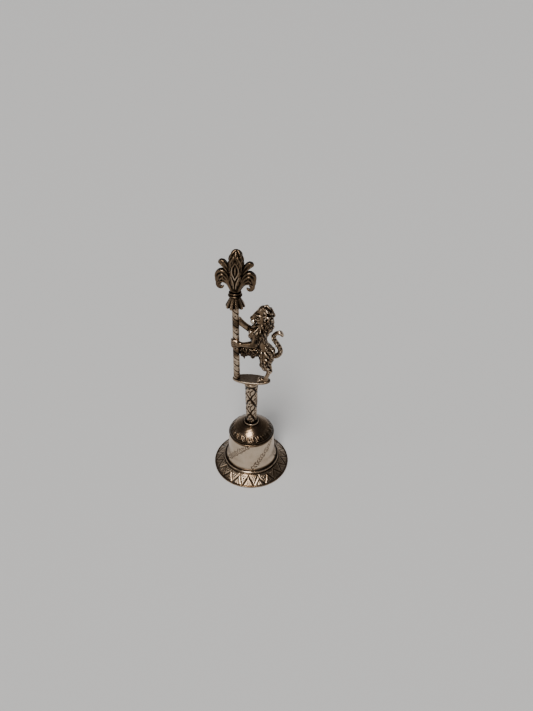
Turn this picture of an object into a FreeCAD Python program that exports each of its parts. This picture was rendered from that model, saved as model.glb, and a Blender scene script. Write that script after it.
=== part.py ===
import FreeCAD, Part
import math
import os
import re

import Sketcher

# Lion-handle hand bell.  Millimetres and degrees.
# Frame: the origin is on the bell's axis, on the plane that the brim rests on.  +Z is up.
# The staff stands towards -X and the lion towards +X, so the lion looks along -X.

SIZES = {
    # bell
    "brim_radius": 18.0,
    "brim_rim_height": 0.75,
    "brim_rim_width": 0.8,
    "brim_sheet": 1.0,
    "foot_height": 4.3,
    "foot_radius": 12.7,
    "foot_wire_height": 1.1,
    "foot_wire_bulge": 0.5,
    "drum_height": 16.1,
    "waist_rise": 5.4,
    "waist_radius": 11.05,
    "shoulder_radius": 10.4,
    "shoulder_wire_height": 0.7,
    "shoulder_wire_bulge": 0.28,
    "wall": 0.8,
    "dome_inset": 0.1,
    "haunch_inset": 1.1,
    "haunch_rise": 2.0,
    "haunch_bulge": 0.26,
    "dome_rise": 5.7,
    "dome_bulge": 0.46,
    "crown_radius": 3.4,
    # handle
    "collar_width": 1.05,
    "collar_height": 0.9,
    "stem_length": 24.4,
    "stem_foot_radius": 2.35,
    "stem_middle_radius": 2.7,
    "stem_top_radius": 2.9,
    "stem_flare_length": 2.6,
    "stem_neck_radius": 3.05,
    "stem_neck_length": 1.7,
    "stem_ring_height": 1.2,
    "stem_ring_bulge": 0.25,
    "plate_length": 16.8,
    "plate_width": 6.6,
    "plate_thickness": 1.0,
    "staff_inset": 1.9,
    "staff_radius": 1.45,
    "staff_above_lion": 2.9,
    "tenon_radius": 0.8,
    "tenon_length": 5.5,
    # lion
    "lion_height": 38.0,
    "lion_inset": 3.0,
    # finial
    "skirt_radius": 3.95,
    "skirt_top_radius": 2.3,
    "skirt_length": 4.4,
    "skirt_edge": 0.5,
    "skirt_flutes": 10,
    "neck_radius": 2.9,
    "neck_height": 2.3,
    "finial_height": 18.2,
    "finial_bud_radius": 3.05,
    "finial_lean": 2.8,
    # fixing inside the crown
    "tang_radius": 1.0,
    "tang_clearance": 0.1,
    "washer_radius": 2.6,
    "washer_thickness": 0.4,
    "nut_across_corners": 4.6,
    "nut_height": 1.2,
    "tang_end": 0.7,
    # clapper
    "ring_radius": 1.55,
    "wire_radius": 0.4,
    "running_clearance": 0.08,
    "eye_shank": 0.8,
    "rod_radius": 0.6,
    "rod_length": 7.2,
    "rod_in_ball": 1.6,
    "ball_radius": 2.9,
}

# Heights and places that follow from the sizes, as expressions of them.
SHOULDER_Z = "(foot_height + drum_height)"
CROWN_Z = f"({SHOULDER_Z} + dome_rise)"
PLATE_Z = f"({CROWN_Z} + stem_length)"
PLATE_TOP_Z = f"({PLATE_Z} + plate_thickness)"
STAFF_X = "(staff_inset - plate_length / 2)"
STAFF_TOP_Z = f"({PLATE_TOP_Z} + lion_height + staff_above_lion)"
NECK_TOP_Z = f"({STAFF_TOP_Z} + neck_height)"
WASHER_Z = f"({CROWN_Z} - wall - washer_thickness)"
NUT_Z = f"({WASHER_Z} - nut_height)"
TANG_END_Z = f"({NUT_Z} - tang_end)"
EYE_Z = f"({TANG_END_Z} - eye_shank - ring_radius)"
RING_PITCH = "(2 * ring_radius - 2 * wire_radius - running_clearance)"
LINK_Z = f"({EYE_Z} - {RING_PITCH})"
ROD_EYE_Z = f"({LINK_Z} - {RING_PITCH})"
ROD_TOP_Z = f"({ROD_EYE_Z} - ring_radius)"
BALL_Z = f"({ROD_TOP_Z} - rod_length - ball_radius + rod_in_ball)"

doc = FreeCAD.newDocument("SanctusBell")
size = doc.addObject("Spreadsheet::Sheet", "Size")
for row, (alias, number) in enumerate(SIZES.items(), start=1):
    size.set(f"A{row}", alias)
    size.set(f"B{row}", str(number))
    size.setAlias(f"B{row}", alias)
doc.recompute()

sub_parts = []


def value(expression):
    """The number that an expression of the sizes gives."""
    return float(size.evalExpression(expression))


def bind(item, prop, expression):
    """Bind a property of an object to an expression of the sizes."""
    named = re.sub(r"[a-z_]+", lambda m: f"Size.{m[0]}" if m[0] in SIZES else m[0], expression)
    item.setExpression(prop, named)


def keep(item, label):
    """Make an object a sub-part of the bell."""
    item.Label = label
    sub_parts.append(item)
    return item


# ---------------------------------------------------------------- turned pieces

def outline(body, name, path):
    """A closed sketch on the body's XZ plane.

    Each entry of the path is a corner (x, z) that a straight side runs to, or (xm, zm, x, z)
    for an arc that passes through (xm, zm).  All are expressions of the sizes.
    """
    sketch = body.newObject("Sketcher::SketchObject", name)
    plane = [item for item in body.Origin.OriginFeatures if item.Role == "XZ_Plane"][0]
    sketch.AttachmentSupport = [(plane, "")]
    sketch.MapMode = "FlatFace"

    def place(geometry, point, x, z):
        for kind, expression in (("DistanceX", x), ("DistanceY", z)):
            constraint = Sketcher.Constraint(kind, -1, 1, geometry, point, value(expression))
            bind(sketch, f"Constraints[{sketch.addConstraint(constraint)}]", expression)

    def vector(x, z):
        return FreeCAD.Vector(value(x), value(z), 0)

    start = vector(*path[-1][-2:])
    for entry in path:
        end = vector(*entry[-2:])
        if len(entry) == 4:
            middle = vector(*entry[:2])
            curve = Part.ArcOfCircle(start, middle, end)
            side = sketch.addGeometry(curve)
            centre = curve.Center
            turns_left = (start - centre).cross(middle - centre).z > 0
            place(side, 2 if turns_left else 1, *entry[-2:])
            on_arc = sketch.addGeometry(Part.Point(middle), True)
            place(on_arc, 1, *entry[:2])
            sketch.addConstraint(Sketcher.Constraint("PointOnObject", on_arc, 1, side))
            first, last = (1, 2) if turns_left else (2, 1)
        else:
            side = sketch.addGeometry(Part.LineSegment(start, end))
            place(side, 2, *entry)
            first, last = 1, 2
        if side == 0:
            opening = (side, first)
        else:
            sketch.addConstraint(Sketcher.Constraint("Coincident", *previous, side, first))
        previous = (side, last)
        start = end
    sketch.addConstraint(Sketcher.Constraint("Coincident", *previous, *opening))
    return sketch


def turned(label, path, x="0"):
    """A body of revolution about the vertical line at x."""
    body = doc.addObject("PartDesign::Body", label)
    sketch = outline(body, f"{label}_outline", path)
    turn = body.newObject("PartDesign::Revolution", f"{label}_turn")
    turn.Profile = sketch
    turn.ReferenceAxis = (sketch, ["V_Axis"])
    turn.Angle = 360
    sketch.Visibility = False
    bind(body, "Placement.Base.x", x)
    doc.recompute()
    return keep(body, label)


def bulged(x1, z1, x2, z2, bulge):
    """An arc from (x1, z1) to (x2, z2) that stands off its chord, to the right of its run, by bulge."""
    run, rise = f"(({x2}) - ({x1}))", f"(({z2}) - ({z1}))"
    reach = f"sqrt({run}^2 + {rise}^2)"
    middle_x = f"(({x1}) + ({x2})) / 2 + ({bulge}) * {rise} / {reach}"
    middle_z = f"(({z1}) + ({z2})) / 2 - ({bulge}) * {run} / {reach}"
    return (middle_x, middle_z, x2, z2)


def half_round(inner_radius, low_z, height, bulge):
    """The outline of a half-round wire with its flat side on a cylinder."""
    high_z = f"({low_z} + {height})"
    return [(inner_radius, low_z), bulged(inner_radius, low_z, inner_radius, high_z, bulge)]


def make_bell():
    """Brim, drum, dome and the two wires that cover their seams."""
    ledge = "(foot_radius + foot_wire_bulge + 0.1)"
    rim_inner = "(brim_radius - brim_rim_width)"
    slope = f"((foot_height - brim_rim_height) / (brim_radius - {ledge}))"
    turned("brim", [
        ("foot_radius - wall", "foot_height - brim_sheet"),
        (ledge, "foot_height - brim_sheet"),
        (rim_inner, f"foot_height - brim_sheet - ({rim_inner} - {ledge}) * {slope}"),
        (rim_inner, "0"),
        ("brim_radius", "0"),
        ("brim_radius", "brim_rim_height"),
        (ledge, "foot_height"),
        ("foot_radius - wall", "foot_height"),
    ])
    turned("foot_wire", half_round("foot_radius", "foot_height", "foot_wire_height", "foot_wire_bulge"))

    # The flare is an arc that is upright where it meets the waist.
    flare_z = "(foot_height + foot_wire_height)"
    waist_z = "(foot_height + waist_rise)"
    flare = "(foot_radius - waist_radius)"
    rise = f"({waist_z} - {flare_z})"
    flare_radius = f"(({flare}^2 + {rise}^2) / (2 * {flare}))"
    flare_middle = f"(waist_radius + {flare_radius} - sqrt({flare_radius}^2 - {rise}^2 / 4))"
    middle_z = f"({waist_z} - {rise} / 2)"
    wire_z = f"({SHOULDER_Z} - shoulder_wire_height)"
    turned("bell_drum", [
        ("foot_radius - wall", "foot_height"),
        ("foot_radius", "foot_height"),
        ("foot_radius", flare_z),
        (flare_middle, middle_z, "waist_radius", waist_z),
        ("shoulder_radius", wire_z),
        ("shoulder_radius", SHOULDER_Z),
        ("shoulder_radius - wall", SHOULDER_Z),
        ("shoulder_radius - wall", wire_z),
        ("waist_radius - wall", waist_z),
        (f"{flare_middle} - wall", middle_z, "foot_radius - wall", flare_z),
    ])
    turned("shoulder_wire",
           half_round("shoulder_radius", wire_z, "shoulder_wire_height", "shoulder_wire_bulge"))

    foot = "(shoulder_radius - dome_inset)"
    haunch, haunch_z = f"({foot} - haunch_inset)", f"({SHOULDER_Z} + haunch_rise)"
    inner_foot, inner_haunch = f"({foot} - wall)", f"({haunch} - wall * 0.8)"
    inner_haunch_z, ceiling_z = f"({haunch_z} - wall * 0.5)", f"({CROWN_Z} - wall)"
    turned("bell_dome", [
        (foot, SHOULDER_Z),
        bulged(foot, SHOULDER_Z, haunch, haunch_z, "haunch_bulge"),
        bulged(haunch, haunch_z, "crown_radius", CROWN_Z, "dome_bulge"),
        ("tang_radius + tang_clearance", CROWN_Z),
        ("tang_radius + tang_clearance", ceiling_z),
        ("crown_radius", ceiling_z),
        bulged("crown_radius", ceiling_z, inner_haunch, inner_haunch_z, "-dome_bulge"),
        bulged(inner_haunch, inner_haunch_z, inner_foot, SHOULDER_Z, "-haunch_bulge"),
    ])


def make_handle():
    """Collar, stem with its tang, ring, platform and staff."""
    collar_outer = "(stem_foot_radius + collar_width)"
    turned("handle_collar", [
        ("stem_foot_radius", CROWN_Z),
        (collar_outer, CROWN_Z),
        (collar_outer, f"{CROWN_Z} + collar_height / 2"),
        (f"{collar_outer} - collar_width / 6", f"{CROWN_Z} + collar_height",
         f"{collar_outer} - collar_width / 3", f"{CROWN_Z} + collar_height / 2"),
        ("stem_foot_radius", f"{CROWN_Z} + collar_height / 3"),
    ])

    neck_z = f"({PLATE_Z} - stem_neck_length)"
    turned("handle_stem", [
        ("0", TANG_END_Z),
        ("tang_radius", TANG_END_Z),
        ("tang_radius", CROWN_Z),
        ("stem_foot_radius", CROWN_Z),
        ("stem_foot_radius", f"{CROWN_Z} + collar_height"),
        ("stem_middle_radius", f"{CROWN_Z} + stem_length * 0.45"),
        ("stem_top_radius", f"{neck_z} - stem_flare_length"),
        ("stem_neck_radius", neck_z),
        ("stem_neck_radius", PLATE_Z),
        ("0", PLATE_Z),
    ])
    turned("stem_ring", half_round("stem_neck_radius", neck_z, "stem_ring_height", "stem_ring_bulge"))

    oval = doc.addObject("Part::Ellipse", "platform_oval")
    bind(oval, "MajorRadius", "plate_length / 2")
    bind(oval, "MinorRadius", "plate_width / 2")
    platform = doc.addObject("Part::Extrusion", "platform")
    platform.Base = oval
    platform.DirMode = "Custom"
    platform.Dir = FreeCAD.Vector(0, 0, 1)
    platform.Solid = True
    bind(platform, "LengthFwd", "plate_thickness")
    bind(platform, "Placement.Base.z", PLATE_Z)
    keep(platform, "platform")

    turned("staff", [
        ("0", PLATE_TOP_Z),
        ("staff_radius", PLATE_TOP_Z),
        ("staff_radius", STAFF_TOP_Z),
        ("tenon_radius", STAFF_TOP_Z),
        ("tenon_radius", f"{NECK_TOP_Z} + tenon_length - neck_height"),
        ("0", f"{NECK_TOP_Z} + tenon_length - neck_height"),
    ], x=STAFF_X)


def make_fixing():
    """Washer and nut that hold the stem's tang inside the crown."""
    turned("tang_washer", [
        ("tang_radius + tang_clearance", WASHER_Z),
        ("washer_radius", WASHER_Z),
        ("washer_radius", f"{WASHER_Z} + washer_thickness"),
        ("tang_radius + tang_clearance", f"{WASHER_Z} + washer_thickness"),
    ])
    hexagon = doc.addObject("Part::Prism", "tang_nut_hexagon")
    hexagon.Polygon = 6
    bind(hexagon, "Circumradius", "nut_across_corners / 2")
    bind(hexagon, "Height", "nut_height")
    bind(hexagon, "Placement.Base.z", NUT_Z)
    bore = doc.addObject("Part::Cylinder", "tang_nut_bore")
    bind(bore, "Radius", "tang_radius")
    bind(bore, "Height", "nut_height")
    bind(bore, "Placement.Base.z", NUT_Z)
    nut = doc.addObject("Part::Cut", "tang_nut")
    nut.Base = hexagon
    nut.Tool = bore
    keep(nut, "tang_nut")


# ---------------------------------------------------------------- clapper

def ring(name, height, axis):
    """A round wire ring about a horizontal axis, centred on the bell's axis."""
    torus = doc.addObject("Part::Torus", name)
    bind(torus, "Radius1", "ring_radius")
    bind(torus, "Radius2", "wire_radius")
    torus.Placement.Rotation = FreeCAD.Rotation(FreeCAD.Vector(0, 0, 1), axis)
    bind(torus, "Placement.Base.z", height)
    return torus


def rod(name, radius, low_z, length):
    """An upright round rod on the bell's axis."""
    cylinder = doc.addObject("Part::Cylinder", name)
    bind(cylinder, "Radius", radius)
    bind(cylinder, "Height", length)
    bind(cylinder, "Placement.Base.z", low_z)
    return cylinder


def make_clapper():
    """Fixed eye, free link, and the clapper's rod and ball, hanging at rest."""
    across, along = FreeCAD.Vector(0, 1, 0), FreeCAD.Vector(1, 0, 0)
    eye = doc.addObject("Part::Fuse", "clapper_eye")
    eye.Base = ring("clapper_eye_ring", EYE_Z, across)
    eye.Tool = rod("clapper_eye_shank", "rod_radius", f"{TANG_END_Z} - eye_shank", "eye_shank")
    keep(eye, "clapper_eye")
    keep(ring("clapper_link", LINK_Z, along), "clapper_link")

    hanger = doc.addObject("Part::Fuse", "clapper_rod")
    hanger.Base = ring("clapper_rod_ring", ROD_EYE_Z, across)
    hanger.Tool = rod("clapper_rod_shank", "rod_radius", f"{ROD_TOP_Z} - rod_length", "rod_length")
    keep(hanger, "clapper_rod")

    sphere = doc.addObject("Part::Sphere", "clapper_ball_sphere")
    bind(sphere, "Radius", "ball_radius")
    bind(sphere, "Placement.Base.z", BALL_Z)
    ball = doc.addObject("Part::Cut", "clapper_ball")
    ball.Base = sphere
    ball.Tool = rod("clapper_ball_bore", "rod_radius", f"{ROD_TOP_Z} - rod_length", "rod_length")
    keep(ball, "clapper_ball")


# ---------------------------------------------------------------- castings

def capsule(start, end, start_radius, end_radius):
    """A round limb: two spheres and the cone that touches both."""
    reach = end - start
    tilt = math.asin((start_radius - end_radius) / reach.Length)

    def on_sphere(height, radius, angle):
        return FreeCAD.Vector(radius * math.cos(angle), 0, height + radius * math.sin(angle))

    quarter = math.pi / 2
    low = [on_sphere(0, start_radius, angle) for angle in (-quarter, (tilt - quarter) / 2, tilt)]
    high = [on_sphere(reach.Length, end_radius, angle) for angle in (tilt, (tilt + quarter) / 2, quarter)]
    edges = [
        Part.Arc(*low).toShape(),
        Part.LineSegment(low[2], high[0]).toShape(),
        Part.Arc(*high).toShape(),
        Part.LineSegment(high[2], low[0]).toShape(),
    ]
    limb = Part.Face(Part.Wire(edges)).revolve(FreeCAD.Vector(), FreeCAD.Vector(0, 0, 1), 360)
    limb.Placement = FreeCAD.Placement(start, FreeCAD.Rotation(FreeCAD.Vector(0, 0, 1), reach))
    return limb


def chain(joints):
    """Capsules from joint to joint.  A joint is (x, y, z, radius).

    Each capsule starts a little thinner than the one before ends, so no two share a surface.
    """
    limbs = []
    for (x1, y1, z1, r1), (x2, y2, z2, r2) in zip(joints, joints[1:]):
        limbs.append(capsule(FreeCAD.Vector(x1, y1, z1), FreeCAD.Vector(x2, y2, z2), r1 * 0.97, r2))
    return limbs


def casting(label, limbs, cutters):
    """One solid: the limbs joined, with the pieces that it is soldered to cut away."""
    shape = limbs[0].multiFuse(limbs[1:])
    for cutter in cutters:
        shape = shape.cut(cutter)
    body = max(shape.Solids, key=lambda solid: solid.Volume)
    item = doc.addObject("Part::Feature", label)
    item.Shape = body
    return keep(item, label)


def make_lion():
    """The lion and its tail, drawn for a height of 38 and scaled about the standing foot."""
    drawn_height, drawn_foot = 38.0, 5.4
    scale = value("lion_height") / drawn_height
    foot_x = value("plate_length / 2 - lion_inset")
    staff_x = value(STAFF_X)
    plate_top = value(PLATE_TOP_Z)

    def on_body(x, y, z, radius):
        return (foot_x + (x - drawn_foot) * scale, y * scale, plate_top + z * scale, radius * scale)

    def on_staff(x, y, z, radius):
        return (staff_x + x, y, plate_top + z * scale, radius)

    trunk = [on_body(6.5, 0.1, 14.9, 3.1), on_body(4.6, 0, 19.3, 2.5), on_body(2.1, 0, 23.4, 3.4)]
    neck = [on_body(4.1, 0, 24.6, 3.2), on_body(5.3, 0, 30.0, 3.5), on_body(5.2, 0, 33.9, 3.5)]
    crown = [on_body(4.9, 0.1, 33.5, 3.0), on_body(4.7, 0.1, 35.9, 2.1)]
    muzzle = [on_body(3.8, 0, 33.0, 2.7), on_body(0.9, 0, 30.9, 1.25)]
    jaw = [on_body(4.0, 0, 29.8, 1.6), on_body(1.8, 0, 28.2, 0.95)]
    ears = [[on_body(5.6, side * 1.9, 34.0, 1.1), on_body(6.2, side * 2.9, 34.9, 0.7)] for side in (-1, 1)]
    low_arm = [
        on_body(3.2, -1.9, 25.0, 2.1), on_body(1.0, -2.4, 20.5, 1.6),
        on_staff(2.4, -1.6, 19.2, 1.25), on_staff(-0.1, -0.8, 19.1, 2.3),
    ]
    high_arm = [
        on_body(2.4, 1.6, 24.8, 2.1), on_body(-1.2, 1.9, 25.5, 1.6),
        on_staff(2.2, 1.4, 27.8, 1.4), on_staff(-0.1, 0.6, 28.9, 2.2),
    ]
    standing_leg = [
        on_body(6.9, -1.3, 13.3, 2.6), on_body(5.5, -1.6, 10.4, 1.8), on_body(7.8, -1.5, 6.4, 1.3),
        on_body(6.9, -1.4, 2.6, 1.2), on_body(3.8, -1.4, 0.7, 1.1),
    ]
    raised_leg = [
        on_body(6.1, 1.2, 13.6, 2.5), on_body(2.5, 1.2, 12.6, 1.8), on_body(-1.6, 1.1, 13.3, 1.35),
        on_staff(0.1, 0.5, 13.6, 2.0),
    ]
    limbs = []
    for joints in (trunk, neck, crown, muzzle, jaw, *ears, low_arm, high_arm, standing_leg, raised_leg):
        limbs += chain(joints)
    ground = Part.makeBox(100, 100, 10, FreeCAD.Vector(-50, -50, plate_top - 10))
    staff = Part.makeCylinder(value("staff_radius"), value(f"{STAFF_TOP_Z} - {PLATE_TOP_Z}"),
                              FreeCAD.Vector(staff_x, 0, plate_top))
    lion = casting("lion", limbs, [ground, staff])

    tail = [
        on_body(8.6, 0, 13.9, 1.0), on_body(11.3, 0, 14.6, 0.9), on_body(12.0, 0, 16.7, 0.85),
        on_body(10.9, 0, 19.1, 0.8), on_body(9.8, 0, 21.4, 0.8), on_body(10.2, 0, 24.0, 0.9),
        on_body(11.6, 0, 25.0, 1.15), on_body(12.3, 0, 24.2, 0.7),
    ]
    casting("lion_tail", chain(tail), [lion.Shape])


def make_finial():
    """Fluted skirt, neck rings and the fleur-de-lis, on the staff's tenon."""
    edge_z = f"({STAFF_TOP_Z} - skirt_length)"
    skirt = turned("finial_skirt", [
        ("staff_radius", f"{edge_z} + skirt_length / 2"),
        ("skirt_radius - skirt_edge", edge_z),
        ("skirt_radius", edge_z),
        ("(skirt_radius + skirt_top_radius) / 2 - skirt_edge / 3", f"{edge_z} + skirt_length / 2",
         "skirt_top_radius", STAFF_TOP_Z),
        ("staff_radius", STAFF_TOP_Z),
    ], x=STAFF_X)
    sketch = skirt.newObject("Sketcher::SketchObject", "finial_skirt_flute")
    plane = [item for item in skirt.Origin.OriginFeatures if item.Role == "XY_Plane"][0]
    sketch.AttachmentSupport = [(plane, "")]
    sketch.MapMode = "FlatFace"
    flute_x, flute_radius = "skirt_radius + skirt_edge", "skirt_edge * 1.6"
    circle = sketch.addGeometry(Part.Circle(FreeCAD.Vector(value(flute_x), 0, 0),
                                            FreeCAD.Vector(0, 0, 1), value(flute_radius)))
    across = Sketcher.Constraint("DistanceX", -1, 1, circle, 3, value(flute_x))
    bind(sketch, f"Constraints[{sketch.addConstraint(across)}]", flute_x)
    sketch.addConstraint(Sketcher.Constraint("PointOnObject", circle, 3, -1))
    round_size = Sketcher.Constraint("Radius", circle, value(flute_radius))
    bind(sketch, f"Constraints[{sketch.addConstraint(round_size)}]", flute_radius)
    flute = skirt.newObject("PartDesign::Pocket", "finial_skirt_first_flute")
    flute.Profile = sketch
    flute.Reversed = True
    bind(flute, "Length", STAFF_TOP_Z)
    sketch.Visibility = False
    doc.recompute()
    flutes = skirt.newObject("PartDesign::PolarPattern", "finial_skirt_flutes")
    flutes.Originals = [flute]
    flutes.Axis = (sketch, ["N_Axis"])
    flutes.Angle = 360
    bind(flutes, "Occurrences", "skirt_flutes")
    skirt.Tip = flutes

    ring_radius = "neck_radius"
    groove_radius = "(neck_radius * 0.8)"
    turned("finial_neck", [
        ("tenon_radius", STAFF_TOP_Z),
        (groove_radius, STAFF_TOP_Z),
        (ring_radius, f"{STAFF_TOP_Z} + neck_height * 0.35", groove_radius,
         f"{STAFF_TOP_Z} + neck_height * 0.7"),
        (f"{groove_radius} + neck_height * 0.12", f"{STAFF_TOP_Z} + neck_height * 0.85", groove_radius,
         NECK_TOP_Z),
        ("tenon_radius", NECK_TOP_Z),
    ], x=STAFF_X)

    staff_x, base_z = value(STAFF_X), value(NECK_TOP_Z)
    height, bud_radius = value("finial_height"), value("finial_bud_radius")
    drawn_height = 18.2
    scale = height / drawn_height
    side = [FreeCAD.Vector(bud_radius * x, 0, height * z) for x, z in (
        (0.52, -0.05), (0.72, 0.3), (1, 0.68), (0.82, 0.87), (0, 1))]
    curve = Part.BSplineCurve()
    curve.interpolate(side, InitialTangent=FreeCAD.Vector(0, 0, 1), FinalTangent=FreeCAD.Vector(-1, 0, 0))
    foot = FreeCAD.Vector(0, 0, side[0].z)
    edges = [
        Part.LineSegment(foot, side[0]).toShape(),
        curve.toShape(),
        Part.LineSegment(side[-1], foot).toShape(),
    ]
    limbs = [Part.Face(Part.Wire(edges)).revolve(FreeCAD.Vector(), FreeCAD.Vector(0, 0, 1), 360)]
    lower_leaf = [(1.0, 0.8, 1.0), (3.0, 4.8, 1.5), (5.6, 6.7, 2.5), (7.1, 4.6, 1.5), (6.3, 2.1, 1.15)]
    upper_leaf = [(2.2, 7.2, 1.3), (4.4, 10.6, 1.35), (5.9, 12.2, 1.1)]
    for side in (-1, 1):
        for leaf in (lower_leaf, upper_leaf):
            limbs += chain([(side * x * scale, 0, z * scale, r * scale) for x, z, r in leaf])
    lean = FreeCAD.Rotation(FreeCAD.Vector(0, 1, 0), value("finial_lean"))
    for limb in limbs:
        limb.Placement = FreeCAD.Placement(FreeCAD.Vector(staff_x, 0, base_z), lean).multiply(limb.Placement)
    ground = Part.makeBox(100, 100, 10, FreeCAD.Vector(-50, -50, base_z - 10))
    tenon = Part.makeCylinder(value("tenon_radius"), value("tenon_length"),
                              FreeCAD.Vector(staff_x, 0, value(STAFF_TOP_Z)))
    casting("finial_plume", limbs, [ground, tenon])


make_bell()
make_handle()
make_fixing()
make_clapper()
make_lion()
make_finial()
doc.recompute()

for item in doc.Objects:
    if {"Invalid", "Error"} & set(item.State):
        raise RuntimeError(f"{item.Label} did not build: {item.State}")
for item in sub_parts:
    if item.Shape.isNull() or not item.Shape.isValid() or len(item.Shape.Solids) != 1:
        raise RuntimeError(f"{item.Label} is not one valid solid")

os.makedirs("parts", exist_ok=True)
for item in sub_parts:
    item.Shape.exportStep(f"parts/{item.Label}.step")
    box = item.Shape.BoundBox
    print(f"{item.Label:16s} volume {item.Shape.Volume:9.3f}  "
          f"x {box.XMin:7.2f} {box.XMax:7.2f}  y {box.YMin:7.2f} {box.YMax:7.2f}  "
          f"z {box.ZMin:7.2f} {box.ZMax:7.2f}")
for name, expression in (("eye wire", f"{EYE_Z} - ring_radius"), ("link wire", f"{LINK_Z} - ring_radius"),
                         ("ball", BALL_Z)):
    print(f"{name} centre at z {value(expression):.4f}")
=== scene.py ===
"""The looks of the sanctus bell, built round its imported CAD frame, in mm until a mesh is made."""

import itertools
import math

import bpy
import numpy as np
from mathutils import Euler, Matrix, Vector


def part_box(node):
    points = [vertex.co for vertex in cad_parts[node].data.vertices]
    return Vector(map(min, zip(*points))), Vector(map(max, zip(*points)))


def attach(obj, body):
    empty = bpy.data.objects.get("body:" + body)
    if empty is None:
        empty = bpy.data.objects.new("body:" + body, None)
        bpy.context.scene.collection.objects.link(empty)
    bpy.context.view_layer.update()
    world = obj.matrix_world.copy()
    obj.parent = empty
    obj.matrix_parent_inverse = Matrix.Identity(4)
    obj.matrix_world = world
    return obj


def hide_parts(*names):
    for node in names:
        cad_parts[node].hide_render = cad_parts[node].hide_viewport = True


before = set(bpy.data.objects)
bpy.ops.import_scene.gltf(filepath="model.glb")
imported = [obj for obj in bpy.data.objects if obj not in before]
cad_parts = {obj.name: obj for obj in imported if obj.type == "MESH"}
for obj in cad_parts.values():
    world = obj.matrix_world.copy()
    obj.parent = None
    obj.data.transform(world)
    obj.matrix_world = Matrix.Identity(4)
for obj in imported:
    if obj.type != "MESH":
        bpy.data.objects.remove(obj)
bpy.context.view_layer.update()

MM = 0.001
TURN = 2 * math.pi
FAR = 1.6                     # how far round a stroke its distance is worked out
rng = np.random.default_rng(7)


def extent(node):
    """Lowest and highest corner of a CAD node, in mm."""
    low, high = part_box(node)
    return np.array(low) / MM, np.array(high) / MM


BRIM_RADIUS = extent("brim")[1][0]
SHEET = 1.0                   # thickness of the brim
WALL = 0.8                    # thickness of the drum and the dome
DOME_GAP = 0.1                # between the dome's foot and the drum's shoulder
STEM_FOOT_RADIUS = 2.35
FOOT_Z, SHOULDER_Z = extent("bell_drum")[0][2], extent("bell_drum")[1][2]
FOOT_RADIUS = extent("bell_drum")[1][0]
SHOULDER_RADIUS = extent("bell_dome")[1][0] + DOME_GAP
CROWN_Z = extent("bell_dome")[1][2]
COLLAR_RADIUS, COLLAR_Z = extent("handle_collar")[1][0], extent("handle_collar")[1][2]
PLATE_LOW, PLATE_HIGH = extent("platform")
STAFF_X = (extent("staff")[0][0] + extent("staff")[1][0]) / 2
STAFF_RADIUS = (extent("staff")[1][0] - extent("staff")[0][0]) / 2
NECK_LOW, NECK_HIGH = extent("finial_neck")
SKIRT_LOW, SKIRT_HIGH = extent("finial_skirt")
FINIAL_LEAN = math.radians(2.8)


# ---- curves ----

def smooth_curve(points, spacing):
    """A Catmull-Rom curve through rows whose first three values, or all of them, are a place."""
    rows = np.asarray(points, float)
    ends = np.vstack([2 * rows[0] - rows[1], rows, 2 * rows[-1] - rows[-2]])
    place = min(3, rows.shape[1])
    pieces = []
    for a, b, c, d in zip(ends[:-3], ends[1:-2], ends[2:-1], ends[3:]):
        count = max(1, math.ceil(np.linalg.norm((c - b)[:place]) / spacing))
        t = np.arange(count)[:, None] / count
        pieces.append(0.5 * (2 * b + (c - a) * t + (2 * a - 5 * b + 4 * c - d) * t**2
                             + (3 * b - 3 * c + d - a) * t**3))
    return np.vstack(pieces + [rows[-1:]])


def eased(corners, fillet, step):
    """Stations along a closed loop of straight legs between corners (radius, z), each corner rounded."""
    rows = np.asarray(corners, float)
    stations = []
    for i, corner in enumerate(rows):
        before, after = rows[i - 1] - corner, rows[(i + 1) % len(rows)] - corner
        reach_a = min(fillet, 0.45 * np.linalg.norm(before))
        reach_b = min(fillet, 0.45 * np.linalg.norm(after))
        a = corner + before / np.linalg.norm(before) * reach_a
        b = corner + after / np.linalg.norm(after) * reach_b
        t = np.linspace(0, 1, 5)[:, None]
        stations.append((1 - t) ** 2 * a + 2 * t * (1 - t) * corner + t**2 * b)
    filled = []
    for i, part in enumerate(stations):
        a, b = part[-1], stations[(i + 1) % len(stations)][0]
        gaps = int(np.linalg.norm(b - a) / step)
        filled += [part, a + (b - a) * (np.arange(1, gaps + 1) / (gaps + 1))[:, None]]
    return np.vstack(filled)


def blurred(grid, passes, axes, wrap):
    """A repeated three-point average of a grid along the axes."""
    for _ in range(passes):
        for axis in axes:
            before, after = np.roll(grid, 1, axis), np.roll(grid, -1, axis)
            if not wrap[axis]:
                first = [slice(None)] * grid.ndim
                last = list(first)
                first[axis], last[axis] = 0, -1
                before[tuple(first)] = grid[tuple(first)]
                after[tuple(last)] = grid[tuple(last)]
            grid = (grid * 2 + before + after) / 4
    return grid


# ---- meshes ----

def add_piece(name, points, faces, marks, material, body, nodes, slot):
    """One visible piece, from points in mm, standing for CAD nodes on a body."""
    mesh = bpy.data.meshes.new(name)
    mesh.from_pydata((points * MM).tolist(), [], faces)
    for mark in ("hollow", "ridge"):
        layer = mesh.attributes.new(mark, "FLOAT", "POINT")
        layer.data.foreach_set("value", np.asarray(marks[mark], np.float32))
    mesh.shade_smooth()
    mesh.materials.append(material)
    piece = bpy.data.objects.new(name, mesh)
    bpy.context.scene.collection.objects.link(piece)
    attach(piece, body)
    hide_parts(*nodes)


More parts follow.
